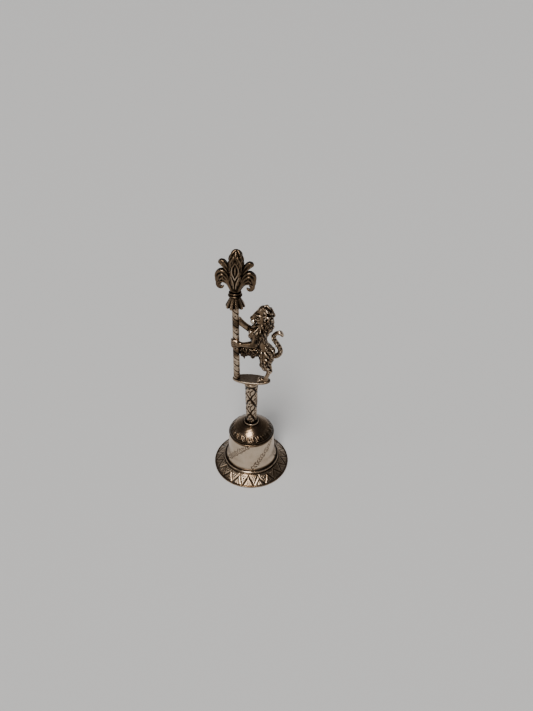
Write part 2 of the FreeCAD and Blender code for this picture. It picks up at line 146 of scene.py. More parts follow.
def turned(outline, around, relief=None, centre_x=0.0, shade=None):
    """Points, faces and marks of a turned form whose outline (radius, z) runs up its outside.

    An outline that starts and ends on the axis is closed by poles, any other by joining its ends.
    relief(angle, radius, z) raises the surface along its normal and shade(angle, radius, z) darkens it,
    mostly with painted shade where parts meet;
    angle runs from the front to +x.
    """
    outline = np.asarray(outline, float)
    solid = outline[0, 0] == 0
    ahead, behind = np.roll(outline, -1, 0), np.roll(outline, 1, 0)
    if solid:
        ahead[-1], behind[0] = outline[-1], outline[0]
    slope = ahead - behind
    normal = np.stack([slope[:, 1], -slope[:, 0]], 1)
    normal /= np.linalg.norm(normal, axis=1)[:, None] + 1e-9
    angle = (TURN * np.arange(around) / around)[None, :]
    radius, z = outline[:, :1], outline[:, 1:]
    height = np.zeros((len(outline), around))
    if relief:
        height = height + relief(angle, radius, z)
    ring_radius = radius + height * normal[:, :1]
    ring_z = z + height * normal[:, 1:]
    points = np.stack([centre_x + ring_radius * np.sin(angle), -ring_radius * np.cos(angle), ring_z], 2)
    soft = blurred(height, 6, (0, 1), (not solid, True))
    hollow = np.clip((soft - height) * 9, 0, 1) + np.clip(-height * 2.5, 0, 1)
    # shade() adds its darkening, mostly painted shade, to the hollow mark along with the tarnish in the cuts
    if shade:
        hollow = hollow + shade(angle, radius, z)
    ridge = np.clip((height - soft) * 12, 0, 1)
    number = np.arange(height.size).reshape(height.shape)
    right = np.roll(number, -1, 1)
    up, up_right = np.roll(number, -1, 0), np.roll(right, -1, 0)
    quads = np.stack([number, right, up_right, up], 2)
    faces = quads[slice(1, -2) if solid else slice(None)].reshape(-1, 4).tolist()
    points = points.reshape(-1, 3)
    marks = {"hollow": np.clip(hollow, 0, 1).ravel(), "ridge": ridge.ravel()}
    if solid:
        last = len(outline) - 1
        faces += [[number[0, 0], right[1, j], number[1, j]] for j in range(around)]
        faces += [[number[last, 0], number[last - 1, j], right[last - 1, j]] for j in range(around)]
        used = np.ones(len(points), bool)
        used[number[0, 1:]] = False
        used[number[last, 1:]] = False
        renumber = np.cumsum(used) - 1
        points = points[used]
        marks = {mark: values[used] for mark, values in marks.items()}
        faces = [[int(renumber[k]) for k in face] for face in faces]
    return points, faces, marks


class Clay:
    """A block of distances on a grid, in mm. Strokes are added to it, grooves are cut, then it is skinned."""

    def __init__(self, low, high, step):
        self.low, self.step = np.array(low, float), step
        counts = np.ceil((np.array(high) - self.low) / step).astype(int) + 1
        self.axes = [self.low[i] + step * np.arange(counts[i]) for i in range(3)]
        self.field = np.full(counts, FAR, np.float32)

    def window(self, low, high):
        """Slices of the block between two corners, and the places of its cells along each axis."""
        slices = []
        for i in range(3):
            first = int(np.clip(math.floor((low[i] - self.low[i]) / self.step), 0, len(self.axes[i]) - 1))
            last = int(np.clip(math.ceil((high[i] - self.low[i]) / self.step) + 1, first + 1,
                               len(self.axes[i])))
            slices.append(slice(first, last))
        places = [self.axes[i][slices[i]].reshape([-1 if k == i else 1 for k in range(3)]) for i in range(3)]
        return tuple(slices), places

    def stroke_distance(self, points, spacing, flat):
        """Distance to a chain of round cones along a curve of rows (x, y, z, radius).

        flat below 1 makes the stroke thinner in y than it is wide.
        """
        curve = smooth_curve(points, spacing)
        reach = curve[:, 3].max() + FAR
        slices, (x, y, z) = self.window(curve[:, :3].min(0) - reach, curve[:, :3].max(0) + reach)
        best = np.full([s.stop - s.start for s in slices], 9.0, np.float32)
        for a, b in zip(curve[:-1], curve[1:]):
            near = max(a[3], b[3]) + FAR
            part, _ = self.window(np.minimum(a, b)[:3] - near, np.maximum(a, b)[:3] + near)
            inner = tuple(slice(max(0, p.start - s.start), max(0, p.stop - s.start))
                          for p, s in zip(part, slices))
            px, py, pz = x[inner[0]], y[:, inner[1]], z[:, :, inner[2]]
            leg = b[:3] - a[:3]
            along = ((px - a[0]) * leg[0] + (py - a[1]) * leg[1] + (pz - a[2]) * leg[2]) / (leg @ leg + 1e-9)
            along = np.clip(along, 0, 1)
            away = np.sqrt((px - a[0] - along * leg[0]) ** 2 + ((py - a[1] - along * leg[1]) / flat) ** 2
                           + (pz - a[2] - along * leg[2]) ** 2)
            away -= a[3] + (b[3] - a[3]) * along
            if flat < 1:
                away *= 0.5 + 0.5 * flat
            best[inner] = np.minimum(best[inner], away)
        return slices, best

    def ball_distance(self, centre, radii, tilt):
        """Distance to an ellipsoid turned by tilt degrees about x, y and z."""
        turn = np.array(Euler([math.radians(t) for t in tilt]).to_matrix()).T
        reach = max(radii) + FAR
        centre, radii = np.array(centre, float), np.array(radii, float)
        slices, (x, y, z) = self.window(centre - reach, centre + reach)
        x, y, z = x - centre[0], y - centre[1], z - centre[2]
        local = [turn[i, 0] * x + turn[i, 1] * y + turn[i, 2] * z for i in range(3)]
        near = np.sqrt(sum((local[i] / radii[i]) ** 2 for i in range(3))) + 1e-6
        steep = np.sqrt(sum((local[i] / radii[i] ** 2) ** 2 for i in range(3))) + 1e-6
        return slices, near * (near - 1) / steep

    def join(self, slices, distance, blend):
        field = self.field[slices]
        meet = np.maximum(blend - np.abs(field - distance), 0) / blend
        self.field[slices] = np.minimum(field, distance) - meet * meet * blend / 4

    def take(self, slices, distance, blend):
        field = self.field[slices]
        meet = np.maximum(blend - np.abs(field + distance), 0) / blend
        self.field[slices] = np.maximum(field, -distance) + meet * meet * blend / 4

    def stroke(self, points, blend=0.3, flat=1.0):
        self.join(*self.stroke_distance(points, 0.5, flat), blend)

    def groove(self, points, blend=0.12):
        self.take(*self.stroke_distance(points, 0.4, 1.0), blend)

    def ball(self, centre, radii, blend=0.5, tilt=(0, 0, 0)):
        self.join(*self.ball_distance(centre, radii, tilt), blend)

    def hole(self, centre, radii, blend=0.2, tilt=(0, 0, 0)):
        self.take(*self.ball_distance(centre, radii, tilt), blend)

    def sample(self, points):
        """The distance at each point, read between the cells."""
        cell = (np.asarray(points) - self.low) / self.step
        base = np.clip(np.floor(cell).astype(int), 0, np.array(self.field.shape) - 2)
        part = np.clip(cell - base, 0, 1)
        total = np.zeros(len(cell))
        for corner in itertools.product((0, 1), repeat=3):
            weight = np.prod(np.where(np.array(corner), part, 1 - part), axis=1)
            total += weight * self.field[tuple((base + corner).T)]
        return total

    def slope(self, points):
        """The outward direction at each point."""
        points = np.asarray(points)
        parts = []
        for axis in range(3):
            shift = np.zeros(3)
            shift[axis] = self.step
            parts.append(self.sample(points + shift) - self.sample(points - shift))
        out = np.stack(parts, 1)
        return out / (np.linalg.norm(out, axis=1)[:, None] + 1e-9)

    def settled(self, points, lift=0.0, rounds=4):
        """The points moved along the slope until they lie lift above the surface."""
        points = np.array(points, float)
        for _ in range(rounds):
            points -= self.slope(points) * (self.sample(points) - lift)[:, None]
        return points

    def shading(self, points):
        """How hollow and how ridged the surface is at each point, felt at three distances."""
        out = self.slope(points)
        hollow, ridge = np.zeros(len(points)), np.zeros(len(points))
        for reach, dark, light in ((0.25, 1.2, 0.6), (0.55, 1.2, 0.35), (1.1, 1.1, 0.0)):
            hollow += dark * np.clip(1 - self.sample(points + out * reach) / reach, 0, 1)
            ridge += light * np.clip(1 + self.sample(points - out * reach) / reach, 0, 1)
        return {"hollow": np.clip(hollow / 1.6, 0, 1), "ridge": np.clip(ridge, 0, 1)}

    def skin(self):
        """Points, faces and marks of the block's surface, by surface nets."""
        inside = self.field < 0
        shape = np.array(inside.shape) - 1
        corners = list(itertools.product((0, 1), repeat=3))
        count = sum(inside[a:a + shape[0], b:b + shape[1], c:c + shape[2]].astype(np.uint8)
                    for a, b, c in corners)
        cells = np.argwhere((count > 0) & (count < 8))
        value = {corner: self.field[tuple((cells + corner).T)] for corner in corners}
        total, crossings = np.zeros((len(cells), 3)), np.zeros(len(cells))
        for corner in corners:
            for axis in range(3):
                if corner[axis]:
                    continue
                other = tuple(1 if k == axis else corner[k] for k in range(3))
                a, b = value[corner], value[other]
                cut = (a < 0) != (b < 0)
                t = np.where(cut, a / np.where(cut, a - b, 1), 0)
                place = np.array(corner, float) + t[:, None] * np.eye(3)[axis]
                total += place * cut[:, None]
                crossings += cut
        points = self.low + (cells + total / crossings[:, None]) * self.step
        number = np.full(shape, -1)
        number[tuple(cells.T)] = np.arange(len(cells))
        faces = []
        unit = np.eye(3, dtype=int)
        for axis in range(3):
            u, v = (axis + 1) % 3, (axis + 2) % 3
            near = [slice(None)] * 3
            far = list(near)
            near[axis], far[axis] = slice(0, -1), slice(1, None)
            first, second = inside[tuple(near)], inside[tuple(far)]
            for crossing, order in ((first & ~second, (0, 1, 2, 3)), (~first & second, (3, 2, 1, 0))):
                edges = np.argwhere(crossing)
                edges = edges[(edges[:, u] > 0) & (edges[:, v] > 0)
                              & (edges[:, u] < shape[u]) & (edges[:, v] < shape[v])]
                ring = [edges - unit[u] - unit[v], edges - unit[v], edges, edges - unit[u]]
                faces.append(np.stack([number[tuple(r.T)] for r in ring], 1)[:, order])
        faces = np.vstack(faces)
        points = self.settled(points, 0.0, 2)
        return points, faces.tolist(), self.shading(points)


# ---- materials ----

def set_stops(ramp, stops):
    """Gives a colour ramp node its stops, rows of place and tint."""
    line = ramp.color_ramp.elements
    for _ in range(len(stops) - 2):
        line.new(0.5)
    for element, (place, tint) in zip(line, stops):
        element.position, element.color = place, (*tint, 1)


class Finish:
    """Short forms for building one material's nodes."""

    def __init__(self, name):
        self.material = bpy.data.materials.new(name)
        self.material.use_nodes = True
        self.tree = self.material.node_tree
        self.surface = self.tree.nodes["Principled BSDF"]
        place = self.tree.nodes.new("ShaderNodeTexCoord")
        self.place = place.outputs["Object"]

    def put(self, socket, value):
        if isinstance(value, bpy.types.NodeSocket):
            self.tree.links.new(value, socket)
        else:
            socket.default_value = value

    def maths(self, operation, a, b=0.0, clamp=False):
        node = self.tree.nodes.new("ShaderNodeMath")
        node.operation, node.use_clamp = operation, clamp
        self.put(node.inputs[0], a)
        self.put(node.inputs[1], b)
        return node.outputs[0]

    def times(self, value, factor):
        return self.maths("MULTIPLY", value, factor)

    def mark(self, name):
        node = self.tree.nodes.new("ShaderNodeAttribute")
        node.attribute_name = name
        return node.outputs["Fac"]

    def grain(self, per_mm, detail, stretch=(1, 1, 1)):
        """Noise with about per_mm spots to the mm, centred on nought."""
        spread = self.tree.nodes.new("ShaderNodeMapping")
        spread.inputs["Scale"].default_value = stretch
        self.put(spread.inputs["Vector"], self.place)
        noise = self.tree.nodes.new("ShaderNodeTexNoise")
        noise.inputs["Scale"].default_value = per_mm / MM
        noise.inputs["Detail"].default_value = detail
        self.put(noise.inputs["Vector"], spread.outputs[0])
        return self.maths("SUBTRACT", noise.outputs["Fac"], 0.5)

    def ramp(self, value, stops):
        node = self.tree.nodes.new("ShaderNodeValToRGB")
        set_stops(node, stops)
        self.put(node.inputs["Fac"], value)
        return node.outputs["Color"]

    def span(self, value, low, high):
        node = self.tree.nodes.new("ShaderNodeMapRange")
        self.put(node.inputs["Value"], value)
        node.inputs["To Min"].default_value, node.inputs["To Max"].default_value = low, high
        return node.outputs["Result"]

    def bump(self, height, depth_mm):
        node = self.tree.nodes.new("ShaderNodeBump")
        node.inputs["Strength"].default_value = 1.0
        node.inputs["Distance"].default_value = depth_mm * MM
        self.put(node.inputs["Height"], height)
        self.tree.links.new(node.outputs["Normal"], self.surface.inputs["Normal"])


# silver from rubbed bright to black with tarnish
BRIGHT = (0.86, 0.765, 0.63)
WARM = (0.56, 0.447, 0.338)
BROWN = (0.17, 0.113, 0.068)
SOOT = (0.012, 0.008, 0.005)


def old_silver(name, tarnish, blotches, hollow, wear, rough, brushed=0.0, pits=0.02):
    """Tarnished silver plate: dark in hollows, from tarnish and from the painted shade that the hollow mark
    carries, rubbed bright on ridges, with blotches between.

    tarnish is the plain surface's place between bright (0) and soot (1).
    """
    finish = Finish(name)
    large, small = finish.grain(0.22, 4), finish.grain(1.7, 6)
    age = finish.maths("MULTIPLY_ADD", large, blotches)
    age.node.inputs[2].default_value = tarnish
    age = finish.maths("ADD", age, finish.times(small, blotches * 0.7))
    age = finish.maths("ADD", age, finish.times(finish.mark("hollow"), hollow))
    age = finish.maths("SUBTRACT", age, finish.times(finish.mark("ridge"), wear), clamp=True)
    tint = finish.ramp(age, ((0.0, BRIGHT), (0.3, WARM), (0.62, BROWN), (0.95, SOOT)))
    finish.put(finish.surface.inputs["Base Color"], tint)
    finish.surface.inputs["Metallic"].default_value = 1.0
    fine = finish.grain(7.0, 3)
    dull = finish.maths("ADD", finish.span(age, rough, rough + 0.16), finish.times(fine, 0.1))
    finish.put(finish.surface.inputs["Roughness"], dull)
    lines = finish.times(finish.grain(3.0, 2, (0.3, 0.3, 6.0)), brushed)
    finish.bump(finish.maths("ADD", finish.times(small, 0.6), lines), pits)
    return finish.material


def plain_brass(name):
    """Unplated brass, dulled and a little spotted."""
    finish = Finish(name)
    age = finish.maths("ADD", finish.times(finish.grain(0.5, 5), 1.3), 0.45, clamp=True)
    tint = finish.ramp(age, ((0.0, (0.72, 0.54, 0.27)), (0.55, (0.5, 0.35, 0.15)),
                             (1.0, (0.16, 0.1, 0.05))))
    finish.put(finish.surface.inputs["Base Color"], tint)
    finish.surface.inputs["Metallic"].default_value = 1.0
    finish.put(finish.surface.inputs["Roughness"], finish.span(age, 0.26, 0.5))
    finish.bump(finish.grain(4.0, 4), 0.012)
    return finish.material


drum_silver = old_silver("drum_silver", tarnish=0.3, blotches=0.2, hollow=1.1, wear=0.1, rough=0.25,
                         brushed=0.4)
dome_silver = old_silver("dome_silver", tarnish=0.6, blotches=0.34, hollow=0.55, wear=0.75, rough=0.11)
wire_silver = old_silver("wire_silver", tarnish=0.48, blotches=0.5, hollow=0.6, wear=0.2, rough=0.13)
brim_silver = old_silver("brim_silver", tarnish=0.6, blotches=0.5, hollow=0.36, wear=0.5, rough=0.15,
                         pits=0.03)
dark_wire = old_silver("dark_wire", tarnish=0.68, blotches=0.5, hollow=0.5, wear=0.5, rough=0.16)
stem_silver = old_silver("stem_silver", tarnish=0.44, blotches=0.5, hollow=0.95, wear=0.2, rough=0.2,
                         pits=0.03)
staff_silver = old_silver("staff_silver", tarnish=0.43, blotches=0.62, hollow=1.1, wear=0.2, rough=0.19,
                          pits=0.035)
plate_silver = old_silver("plate_silver", tarnish=0.51, blotches=0.5, hollow=0.5, wear=0.3, rough=0.26,
                          pits=0.05)
cast_silver = old_silver("cast_silver", tarnish=0.56, blotches=0.45, hollow=0.9, wear=0.85, rough=0.1,
                         pits=0.045)
finial_silver = old_silver("finial_silver", tarnish=0.75, blotches=0.45, hollow=0.7, wear=0.65, rough=0.11,
                           pits=0.045)
brass = plain_brass("clapper_brass")


# ---- the bell ----

def line_depth(u, v, lines, half_width):
    """How deep each place (u, v) lies in V cuts along the lines: 1 on a line, 0 beside it."""
    depth = np.zeros(np.broadcast(u, v).shape)
    for line in lines:
        for (ua, va), (ub, vb) in zip(line[:-1], line[1:]):
            lu, lv = ub - ua, vb - va
            t = np.clip(((u - ua) * lu + (v - va) * lv) / (lu * lu + lv * lv + 1e-9), 0, 1)
            away = np.hypot(u - ua - t * lu, v - va - t * lv)
            depth = np.maximum(depth, 1 - away / half_width)
    return np.clip(depth, 0, 1)


def dot_depth(u, v, dots, radius):
    depth = np.zeros(np.broadcast(u, v).shape)
    for du, dv in dots:
        depth = np.maximum(depth, 1 - (np.hypot(u - du, v - dv) / radius) ** 2)
    return np.clip(depth, 0, 1)


def repeated(angle, count):
    """Place within one of count repeats round the axis, from -0.5 to 0.5."""
    turns = angle / TURN * count
    return turns - np.round(turns)


BRIM_INNER, BRIM_MIDDLE, BRIM_EDGE = 13.7, 15.5, 17.2
BRIM_REPEATS = 20
BRIM_SLOPE = 0.82             # how steeply the brim's top falls, in mm down to the mm out
RIM_HEIGHT = 0.75
ZIGZAG_IN, ZIGZAG_OUT = 13.9, 17.1
ZIGZAG_CUT, RAY_CUT, DOT_CUT, BAND_CUT = 0.2, 0.12, 0.14, 0.1


def brim_relief(angle, radius, z):
    """Wide zigzag cuts, with dots in the inner triangles and a small leaf in each outer one."""
    pitch = TURN * BRIM_MIDDLE / BRIM_REPEATS
    u = repeated(angle - math.radians(2), BRIM_REPEATS) * pitch
    half = pitch / 2
    u = u + 0.1 * np.sin(angle * 13 + radius) + 0.07 * np.sin(angle * 31)
    zigzag = line_depth(u, radius, [[(-half, ZIGZAG_OUT), (0, ZIGZAG_IN), (half, ZIGZAG_OUT)]], 0.55)
    rays = line_depth(u, radius, [[(-0.5, 17.0), (-0.28, 16.0)], [(0.5, 17.0), (0.28, 16.0)],
                                  [(0, 16.9), (0, 15.9)]], 0.17)
    dots = dot_depth(np.abs(np.abs(u) - half), radius, [(0.0, 14.9), (0.55, 14.35), (0.0, 15.7)], 0.3)
    band = line_depth(radius, 0 * radius, [[(BRIM_INNER - 0.35, 0), (BRIM_INNER - 0.35, 0)]], 0.2)
    top = z > BRIM_SLOPE * (BRIM_EDGE - radius) + 0.45
    return -(ZIGZAG_CUT * zigzag + RAY_CUT * rays + DOT_CUT * dots + BAND_CUT * band) * top


def brim_shade(angle, radius, z):
    """Painted shade against the foot wire."""
    return np.clip(1 - (radius - 13.2) / 0.5, 0, 1) * (z > 3.4) * 0.8


def build_brim():
    top = extent("brim")[1][2]
    outline = eased([
        (FOOT_RADIUS - 0.5, top - SHEET), (BRIM_INNER - 0.2, top - SHEET - 0.25), (BRIM_RADIUS - 0.9, 0.0),
        (BRIM_RADIUS, 0.0), (BRIM_RADIUS, RIM_HEIGHT), (BRIM_EDGE, RIM_HEIGHT + 0.12),
        (BRIM_INNER - 0.35, top - 0.28), (FOOT_RADIUS, top), (FOOT_RADIUS - 0.5, top),
    ], fillet=0.16, step=0.13)
    add_piece("brim_engraved", *turned(outline, 700, brim_relief, shade=brim_shade), brim_silver,
              "bell", ["brim"], "silver_engraved")


GARLANDS = 5
GARLAND_TURN = math.radians(36)
GARLAND_MIDDLE = 7.0          # the place along a garland that lies at the middle of its repeat
STEM_CUT, LEAF_CUT, BEAD_CUT = 0.04, 0.15, 0.13


def garland():
    """Cuts of one leafy garland, in mm round the drum and up it: a stem with leaflets in pairs."""
    stem = smooth_curve([(1.0, 5.9), (3.0, 7.4), (5.1, 10.1), (6.9, 12.4), (9.0, 14.8), (11.4, 17.2),
                         (14.2, 19.0)], 0.3)
    leaflets, beads = [], []
    for k in range(3, len(stem) - 2, 5):
        along = stem[k + 1] - stem[k - 1]
        along /= np.linalg.norm(along)
        side = np.array([-along[1], along[0]])
        swell = (0.55 + 0.85 * math.sin(math.pi * k / len(stem)) ** 0.7) * rng.uniform(0.75, 1.15)
        for sign in (-1, 1):
            root = stem[k] + side * sign * 0.22
            tip = stem[k] + (along * 0.95 + side * sign * 0.85) * swell
            bow = (root + tip) / 2 + along * -0.12
            leaflets.append([tuple(root), tuple(bow), tuple(tip)])
            if k % 2:
                beads.append(tuple(stem[k] + (along * 0.25 + side * sign * 1.05) * swell))
    return [[tuple(p) for p in stem]], leaflets, beads


GARLAND_STEM, GARLAND_LEAVES, GARLAND_BEADS = garland()

# the drum's side: upright behind the foot wire, an arc in to the waist, then straight to the shoulder
FOOT_TOP, WAIST_Z, DRUM_TOP = FOOT_Z + 1.1, FOOT_Z + 5.4, SHOULDER_Z - 0.7
WAIST_RADIUS = 11.05
DRUM_MIDDLE = 11.0


def drum_outside(radius, z):
    """Whether a place of the drum's outline is on its outer face."""
    low = np.clip((WAIST_Z - z) / (WAIST_Z - FOOT_TOP), 0, 1)
    high = np.clip((z - WAIST_Z) / (DRUM_TOP - WAIST_Z), 0, 1)
    outer = WAIST_RADIUS + (FOOT_RADIUS - WAIST_RADIUS) * (1 - np.sqrt(1 - low**2))
    return radius > outer + (SHOULDER_RADIUS - WAIST_RADIUS) * high - WALL / 2


def drum_relief(angle, radius, z):
    """The garlands, shallow."""
    pitch = TURN * DRUM_MIDDLE / GARLANDS
    base = repeated(angle - GARLAND_TURN, GARLANDS) * pitch
    cut = np.zeros(np.broadcast(angle, z).shape)
    for shift in (-1, 0, 1):
        u = base + shift * pitch + GARLAND_MIDDLE
        cut = np.maximum(cut, STEM_CUT * line_depth(u, z, GARLAND_STEM, 0.18))
        cut = np.maximum(cut, LEAF_CUT * line_depth(u, z, GARLAND_LEAVES, 0.27))
        cut = np.maximum(cut, BEAD_CUT * dot_depth(u, z, GARLAND_BEADS, 0.25))
    return -cut * drum_outside(radius, z)


def drum_shade_and_tarnish(angle, radius, z):
    """Painted shade by both wires, and an inside left to tarnish."""
    near_foot = np.clip(1 - (z - FOOT_TOP) / 0.9, 0, 1)
    near_top = np.clip(1 - (DRUM_TOP - z) / 0.6, 0, 1)
    return np.where(drum_outside(radius, z), near_foot * 0.75 + near_top * 0.6, 0.35)


def build_drum():
    t = np.linspace(0, math.pi / 2, 26)[1:-1]
    flare = [(WAIST_RADIUS + (FOOT_RADIUS - WAIST_RADIUS) * (1 - math.sin(a)),
              FOOT_TOP + (WAIST_Z - FOOT_TOP) * (1 - math.cos(a))) for a in t]
    inner = [(r - WALL, z) for r, z in flare[::-3]]
    straight = [(WAIST_RADIUS + (SHOULDER_RADIUS - WAIST_RADIUS) * s, WAIST_Z + (DRUM_TOP - WAIST_Z) * s)
                for s in np.linspace(0, 1, 76)]
    outline = np.array([(FOOT_RADIUS, FOOT_Z), (FOOT_RADIUS, FOOT_TOP)] + flare + straight
                       + [(SHOULDER_RADIUS, SHOULDER_Z), (SHOULDER_RADIUS - WALL, SHOULDER_Z),
                          (SHOULDER_RADIUS - WALL, DRUM_TOP), (WAIST_RADIUS - WALL, WAIST_Z)]
                       + inner + [(FOOT_RADIUS - WALL, FOOT_TOP), (FOOT_RADIUS - WALL, FOOT_Z)])
    add_piece("drum_engraved", *turned(outline, 620, drum_relief, shade=drum_shade_and_tarnish), drum_silver,
              "bell", ["bell_drum"], "silver_polished")


def bead_ring(name, node, material, around, wobble, proud=0.36):
    """A half-round wire fitted to a CAD ring's box, faintly uneven as hand-soldered wire is."""
    low, high = extent(node)
    inner = high[0] - proud
    middle, half = (low[2] + high[2]) / 2, (high[2] - low[2]) / 2
    round_face = [(inner + (high[0] - inner) * math.cos(t), middle + half * math.sin(t))
                  for t in np.linspace(-math.pi / 2, math.pi / 2, 17)]
    outline = np.array(round_face + [(inner - 0.2, high[2]), (inner - 0.2, low[2])])

    def uneven(angle, radius, z):
        return wobble * (np.sin(angle * 9 + 1) + np.sin(angle * 23)) * (radius > inner)

    # painted shade where the wire meets the surface behind it
    def painted_shade(angle, radius, z):
        return np.clip(1 - (radius - inner) / 0.16, 0, 1) * 0.9

    add_piece(name, *turned(outline, around, uneven, shade=painted_shade), material, "bell", [node],
              "silver_bright")


DROPS = 20
DROP_RING = 9.2
HAUNCH = (SHOULDER_RADIUS - 1.2, SHOULDER_Z + 2.0)
DOME_SIDE = smooth_curve([(SHOULDER_RADIUS - 0.1, SHOULDER_Z), (SHOULDER_RADIUS - 0.34, SHOULDER_Z + 1.05),
                          HAUNCH], 0.12)
DOME_CROWN = smooth_curve([HAUNCH, (7.75, 23.72), (6.3, 24.72), (4.75, 25.62), (COLLAR_RADIUS, CROWN_Z)],
                          0.13)


def dome_outside(radius, z):
    """Whether a place of the dome's outline is on its outer face."""
    outer = np.vstack([DOME_SIDE, DOME_CROWN])[::-1]
    return z > np.interp(radius, outer[:, 0], outer[:, 1]) - 0.3


def dome_relief(angle, radius, z):
    """A ring of slanted teardrops with nicks between them, round the haunch."""
    pitch = TURN * DROP_RING / DROPS
    u = repeated(angle + math.radians(6), DROPS) * pitch
    drop = dot_depth((u - 0.3 * (radius - 9.0)) * 1.9, radius, [(0.0, 8.85)], 0.95)
    nick = line_depth(u, radius, [[(0.95, 8.3), (1.4, 9.75)], [(-1.5, 8.6), (-1.2, 9.7)]], 0.26)
    groove = np.clip(1 - np.abs(radius - 9.95) / 0.2, 0, 1) * (z < 22)
    dents = 0.012 * np.sin(angle * 7 + radius * 2.3) * np.sin(radius * 3.1 + 2 * np.sin(angle * 3))
    return (0.17 * drop - 0.24 * nick - 0.1 * groove + dents) * dome_outside(radius, z)


def dome_shade_and_tarnish(angle, radius, z):
    """Darker round the haunch, painted shade against the collar, and an inside left to tarnish."""
    haunch = np.clip((radius - 7.9) / 0.8, 0, 1)
    collar = np.clip(1 - (radius - COLLAR_RADIUS) / 0.6, 0, 1)
    return np.where(dome_outside(radius, z), haunch * 0.62 + collar * 0.7, 0.2)


def build_dome():
    hole = 1.2
    crown = [(STEM_FOOT_RADIUS, CROWN_Z), (hole, CROWN_Z), (hole, CROWN_Z - WALL), (2.6, CROWN_Z - WALL)]
    underside = [(r - 0.35, z - WALL) for r, z in DOME_CROWN[::-6]]
    foot = [(SHOULDER_RADIUS - 1.0, SHOULDER_Z + 1.0), (SHOULDER_RADIUS - 0.9, SHOULDER_Z)]
    outline = np.vstack([DOME_SIDE, DOME_CROWN[1:], crown, underside, foot])
    add_piece("dome_chased", *turned(outline, 560, dome_relief, shade=dome_shade_and_tarnish), dome_silver,
              "bell", ["bell_dome"], "silver_polished")


def build_collar():
    inner = STEM_FOOT_RADIUS
    middle = (inner + COLLAR_RADIUS) / 2
    outline = eased([(inner, CROWN_Z), (COLLAR_RADIUS, CROWN_Z), (COLLAR_RADIUS, CROWN_Z + 0.5),
                     (COLLAR_RADIUS - 0.14, COLLAR_Z), (middle + 0.05, COLLAR_Z - 0.05),
                     (inner + 0.1, CROWN_Z + 0.35)], fillet=0.14, step=0.15)

    # painted shade where the collar meets the stem
    def painted_shade(angle, radius, z):
        return np.clip(1 - (radius - inner) / 0.5, 0, 1)

    add_piece("collar_turned", *turned(outline, 160, shade=painted_shade), wire_silver, "bell", ["handle_collar"],
              "silver_bright")


# ---- the handle ----

STEM_RING_Z = extent("stem_ring")[0][2]
STEM_MIDDLE = 2.75            # the stem's radius halfway up
LOZENGE, CROSSING_Z = 4.45, 41.6
SPIRALS = 3


def stem_relief(angle, radius, z):
    """Three spiral cuts each way, with dots and short leaf cuts in the tall lozenges they leave."""
    outside = (radius > 2.2) & (z > 27.2) & (z < STEM_RING_Z - 0.5)
    width = TURN * STEM_MIDDLE
    u = (angle + math.radians(6)) * STEM_MIDDLE
    wobble = 0.25 * np.sin(z * 1.4 + angle * 3)
    cut = np.zeros(np.broadcast(u, z).shape)
    for sign in (-1, 1):
        for k in range(SPIRALS):
            lead = sign * width / 6 * (z - CROSSING_Z) / LOZENGE + width / SPIRALS * k + wobble
            away = np.abs((u - lead + width / 2) % width - width / 2)
            cut = np.maximum(cut, np.clip(1.25 - away / 0.62, 0, 1))
    for row in range(-4, 3):
        for k in range(SPIRALS):
            centre = width / SPIRALS * (k + 0.5 * (row % 2))
            away = (u - centre + width / 2) % width - width / 2
            v = z - CROSSING_Z - LOZENGE * row - LOZENGE
            leaf = line_depth(away, v, [[(0.15, -2.1), (0.0, -0.7)], [(0.1, -0.3), (1.05, 0.7)],
                                        [(-1.0, -0.7), (-0.45, 0.3)]], 0.42)
            spot = dot_depth(away, v, [(-0.35, 1.6), (0.55, 2.3)], 0.52)
            cut = np.maximum(cut, 0.85 * np.maximum(leaf, spot))
    return -0.26 * cut * outside


def stem_shade(angle, radius, z):
    """Painted shade in the collar, under the ring and under the plate."""
    foot = np.clip(1 - (z - COLLAR_Z) / 0.8, 0, 1)
    under_ring = np.clip(1 - np.abs(z - STEM_RING_Z + 0.35) / 0.45, 0, 1)
    under_plate = np.clip((z - PLATE_LOW[2] + 0.5) / 0.4, 0, 1)
    return foot + under_ring + under_plate * 0.8


def build_stem():
    low, high = extent("handle_stem")
    top = high[2]
    tang = [(0, low[2]), (0.85, low[2]), (1.0, low[2] + 0.15), (1.0, CROWN_Z - 0.02)]
    body = smooth_curve([(STEM_FOOT_RADIUS, CROWN_Z), (2.36, COLLAR_Z), (2.7, 37.1), (2.9, 46.2),
                         (3.0, 48.0), (3.05, 49.2), (3.05, top)], 0.14)
    outline = np.vstack([tang, body, [(0, top)]])
    add_piece("stem_engraved", *turned(outline, 180, stem_relief, shade=stem_shade), stem_silver, "bell",
              ["handle_stem"], "silver_engraved")


STAFF_PITCH = 3.3
GRIPS = (65.6, 70.6, 80.2)    # heights of the paws on the staff


def staff_relief(angle, radius, z):
    """Slanting cuts all one way, with dots between them."""
    outside = (radius > 1.3) & (z > PLATE_HIGH[2] + 0.3) & (z < SKIRT_HIGH[2])
    u = ((angle + math.pi) % TURN - math.pi) * STAFF_RADIUS
    v = (z + u * 0.75) / STAFF_PITCH
    away = np.abs(v - np.round(v)) * STAFF_PITCH * 0.8
    span = 0.75 + 0.25 * np.cos(angle * 2 + np.round(v) * 2.1)
    cut = np.clip(1 - away / 0.42, 0, 1) * np.clip(span * 1.3, 0, 1)
    row = z / STAFF_PITCH + 0.5
    level = row - np.round(row)
    dots = np.zeros_like(cut)
    for k in range(3):
        centre = (k - 1) * TURN * STAFF_RADIUS / 3
        shift = 0.9 * np.sin(np.round(row) * 1.9 + k)
        rise = 0.2 + 0.5 * np.cos(np.round(row) * 2.7 + k)
        dots = np.maximum(dots, dot_depth(u - centre - shift, level * STAFF_PITCH - rise, [(0, 0)], 0.4))
    return -(0.16 * cut + 0.12 * dots) * outside


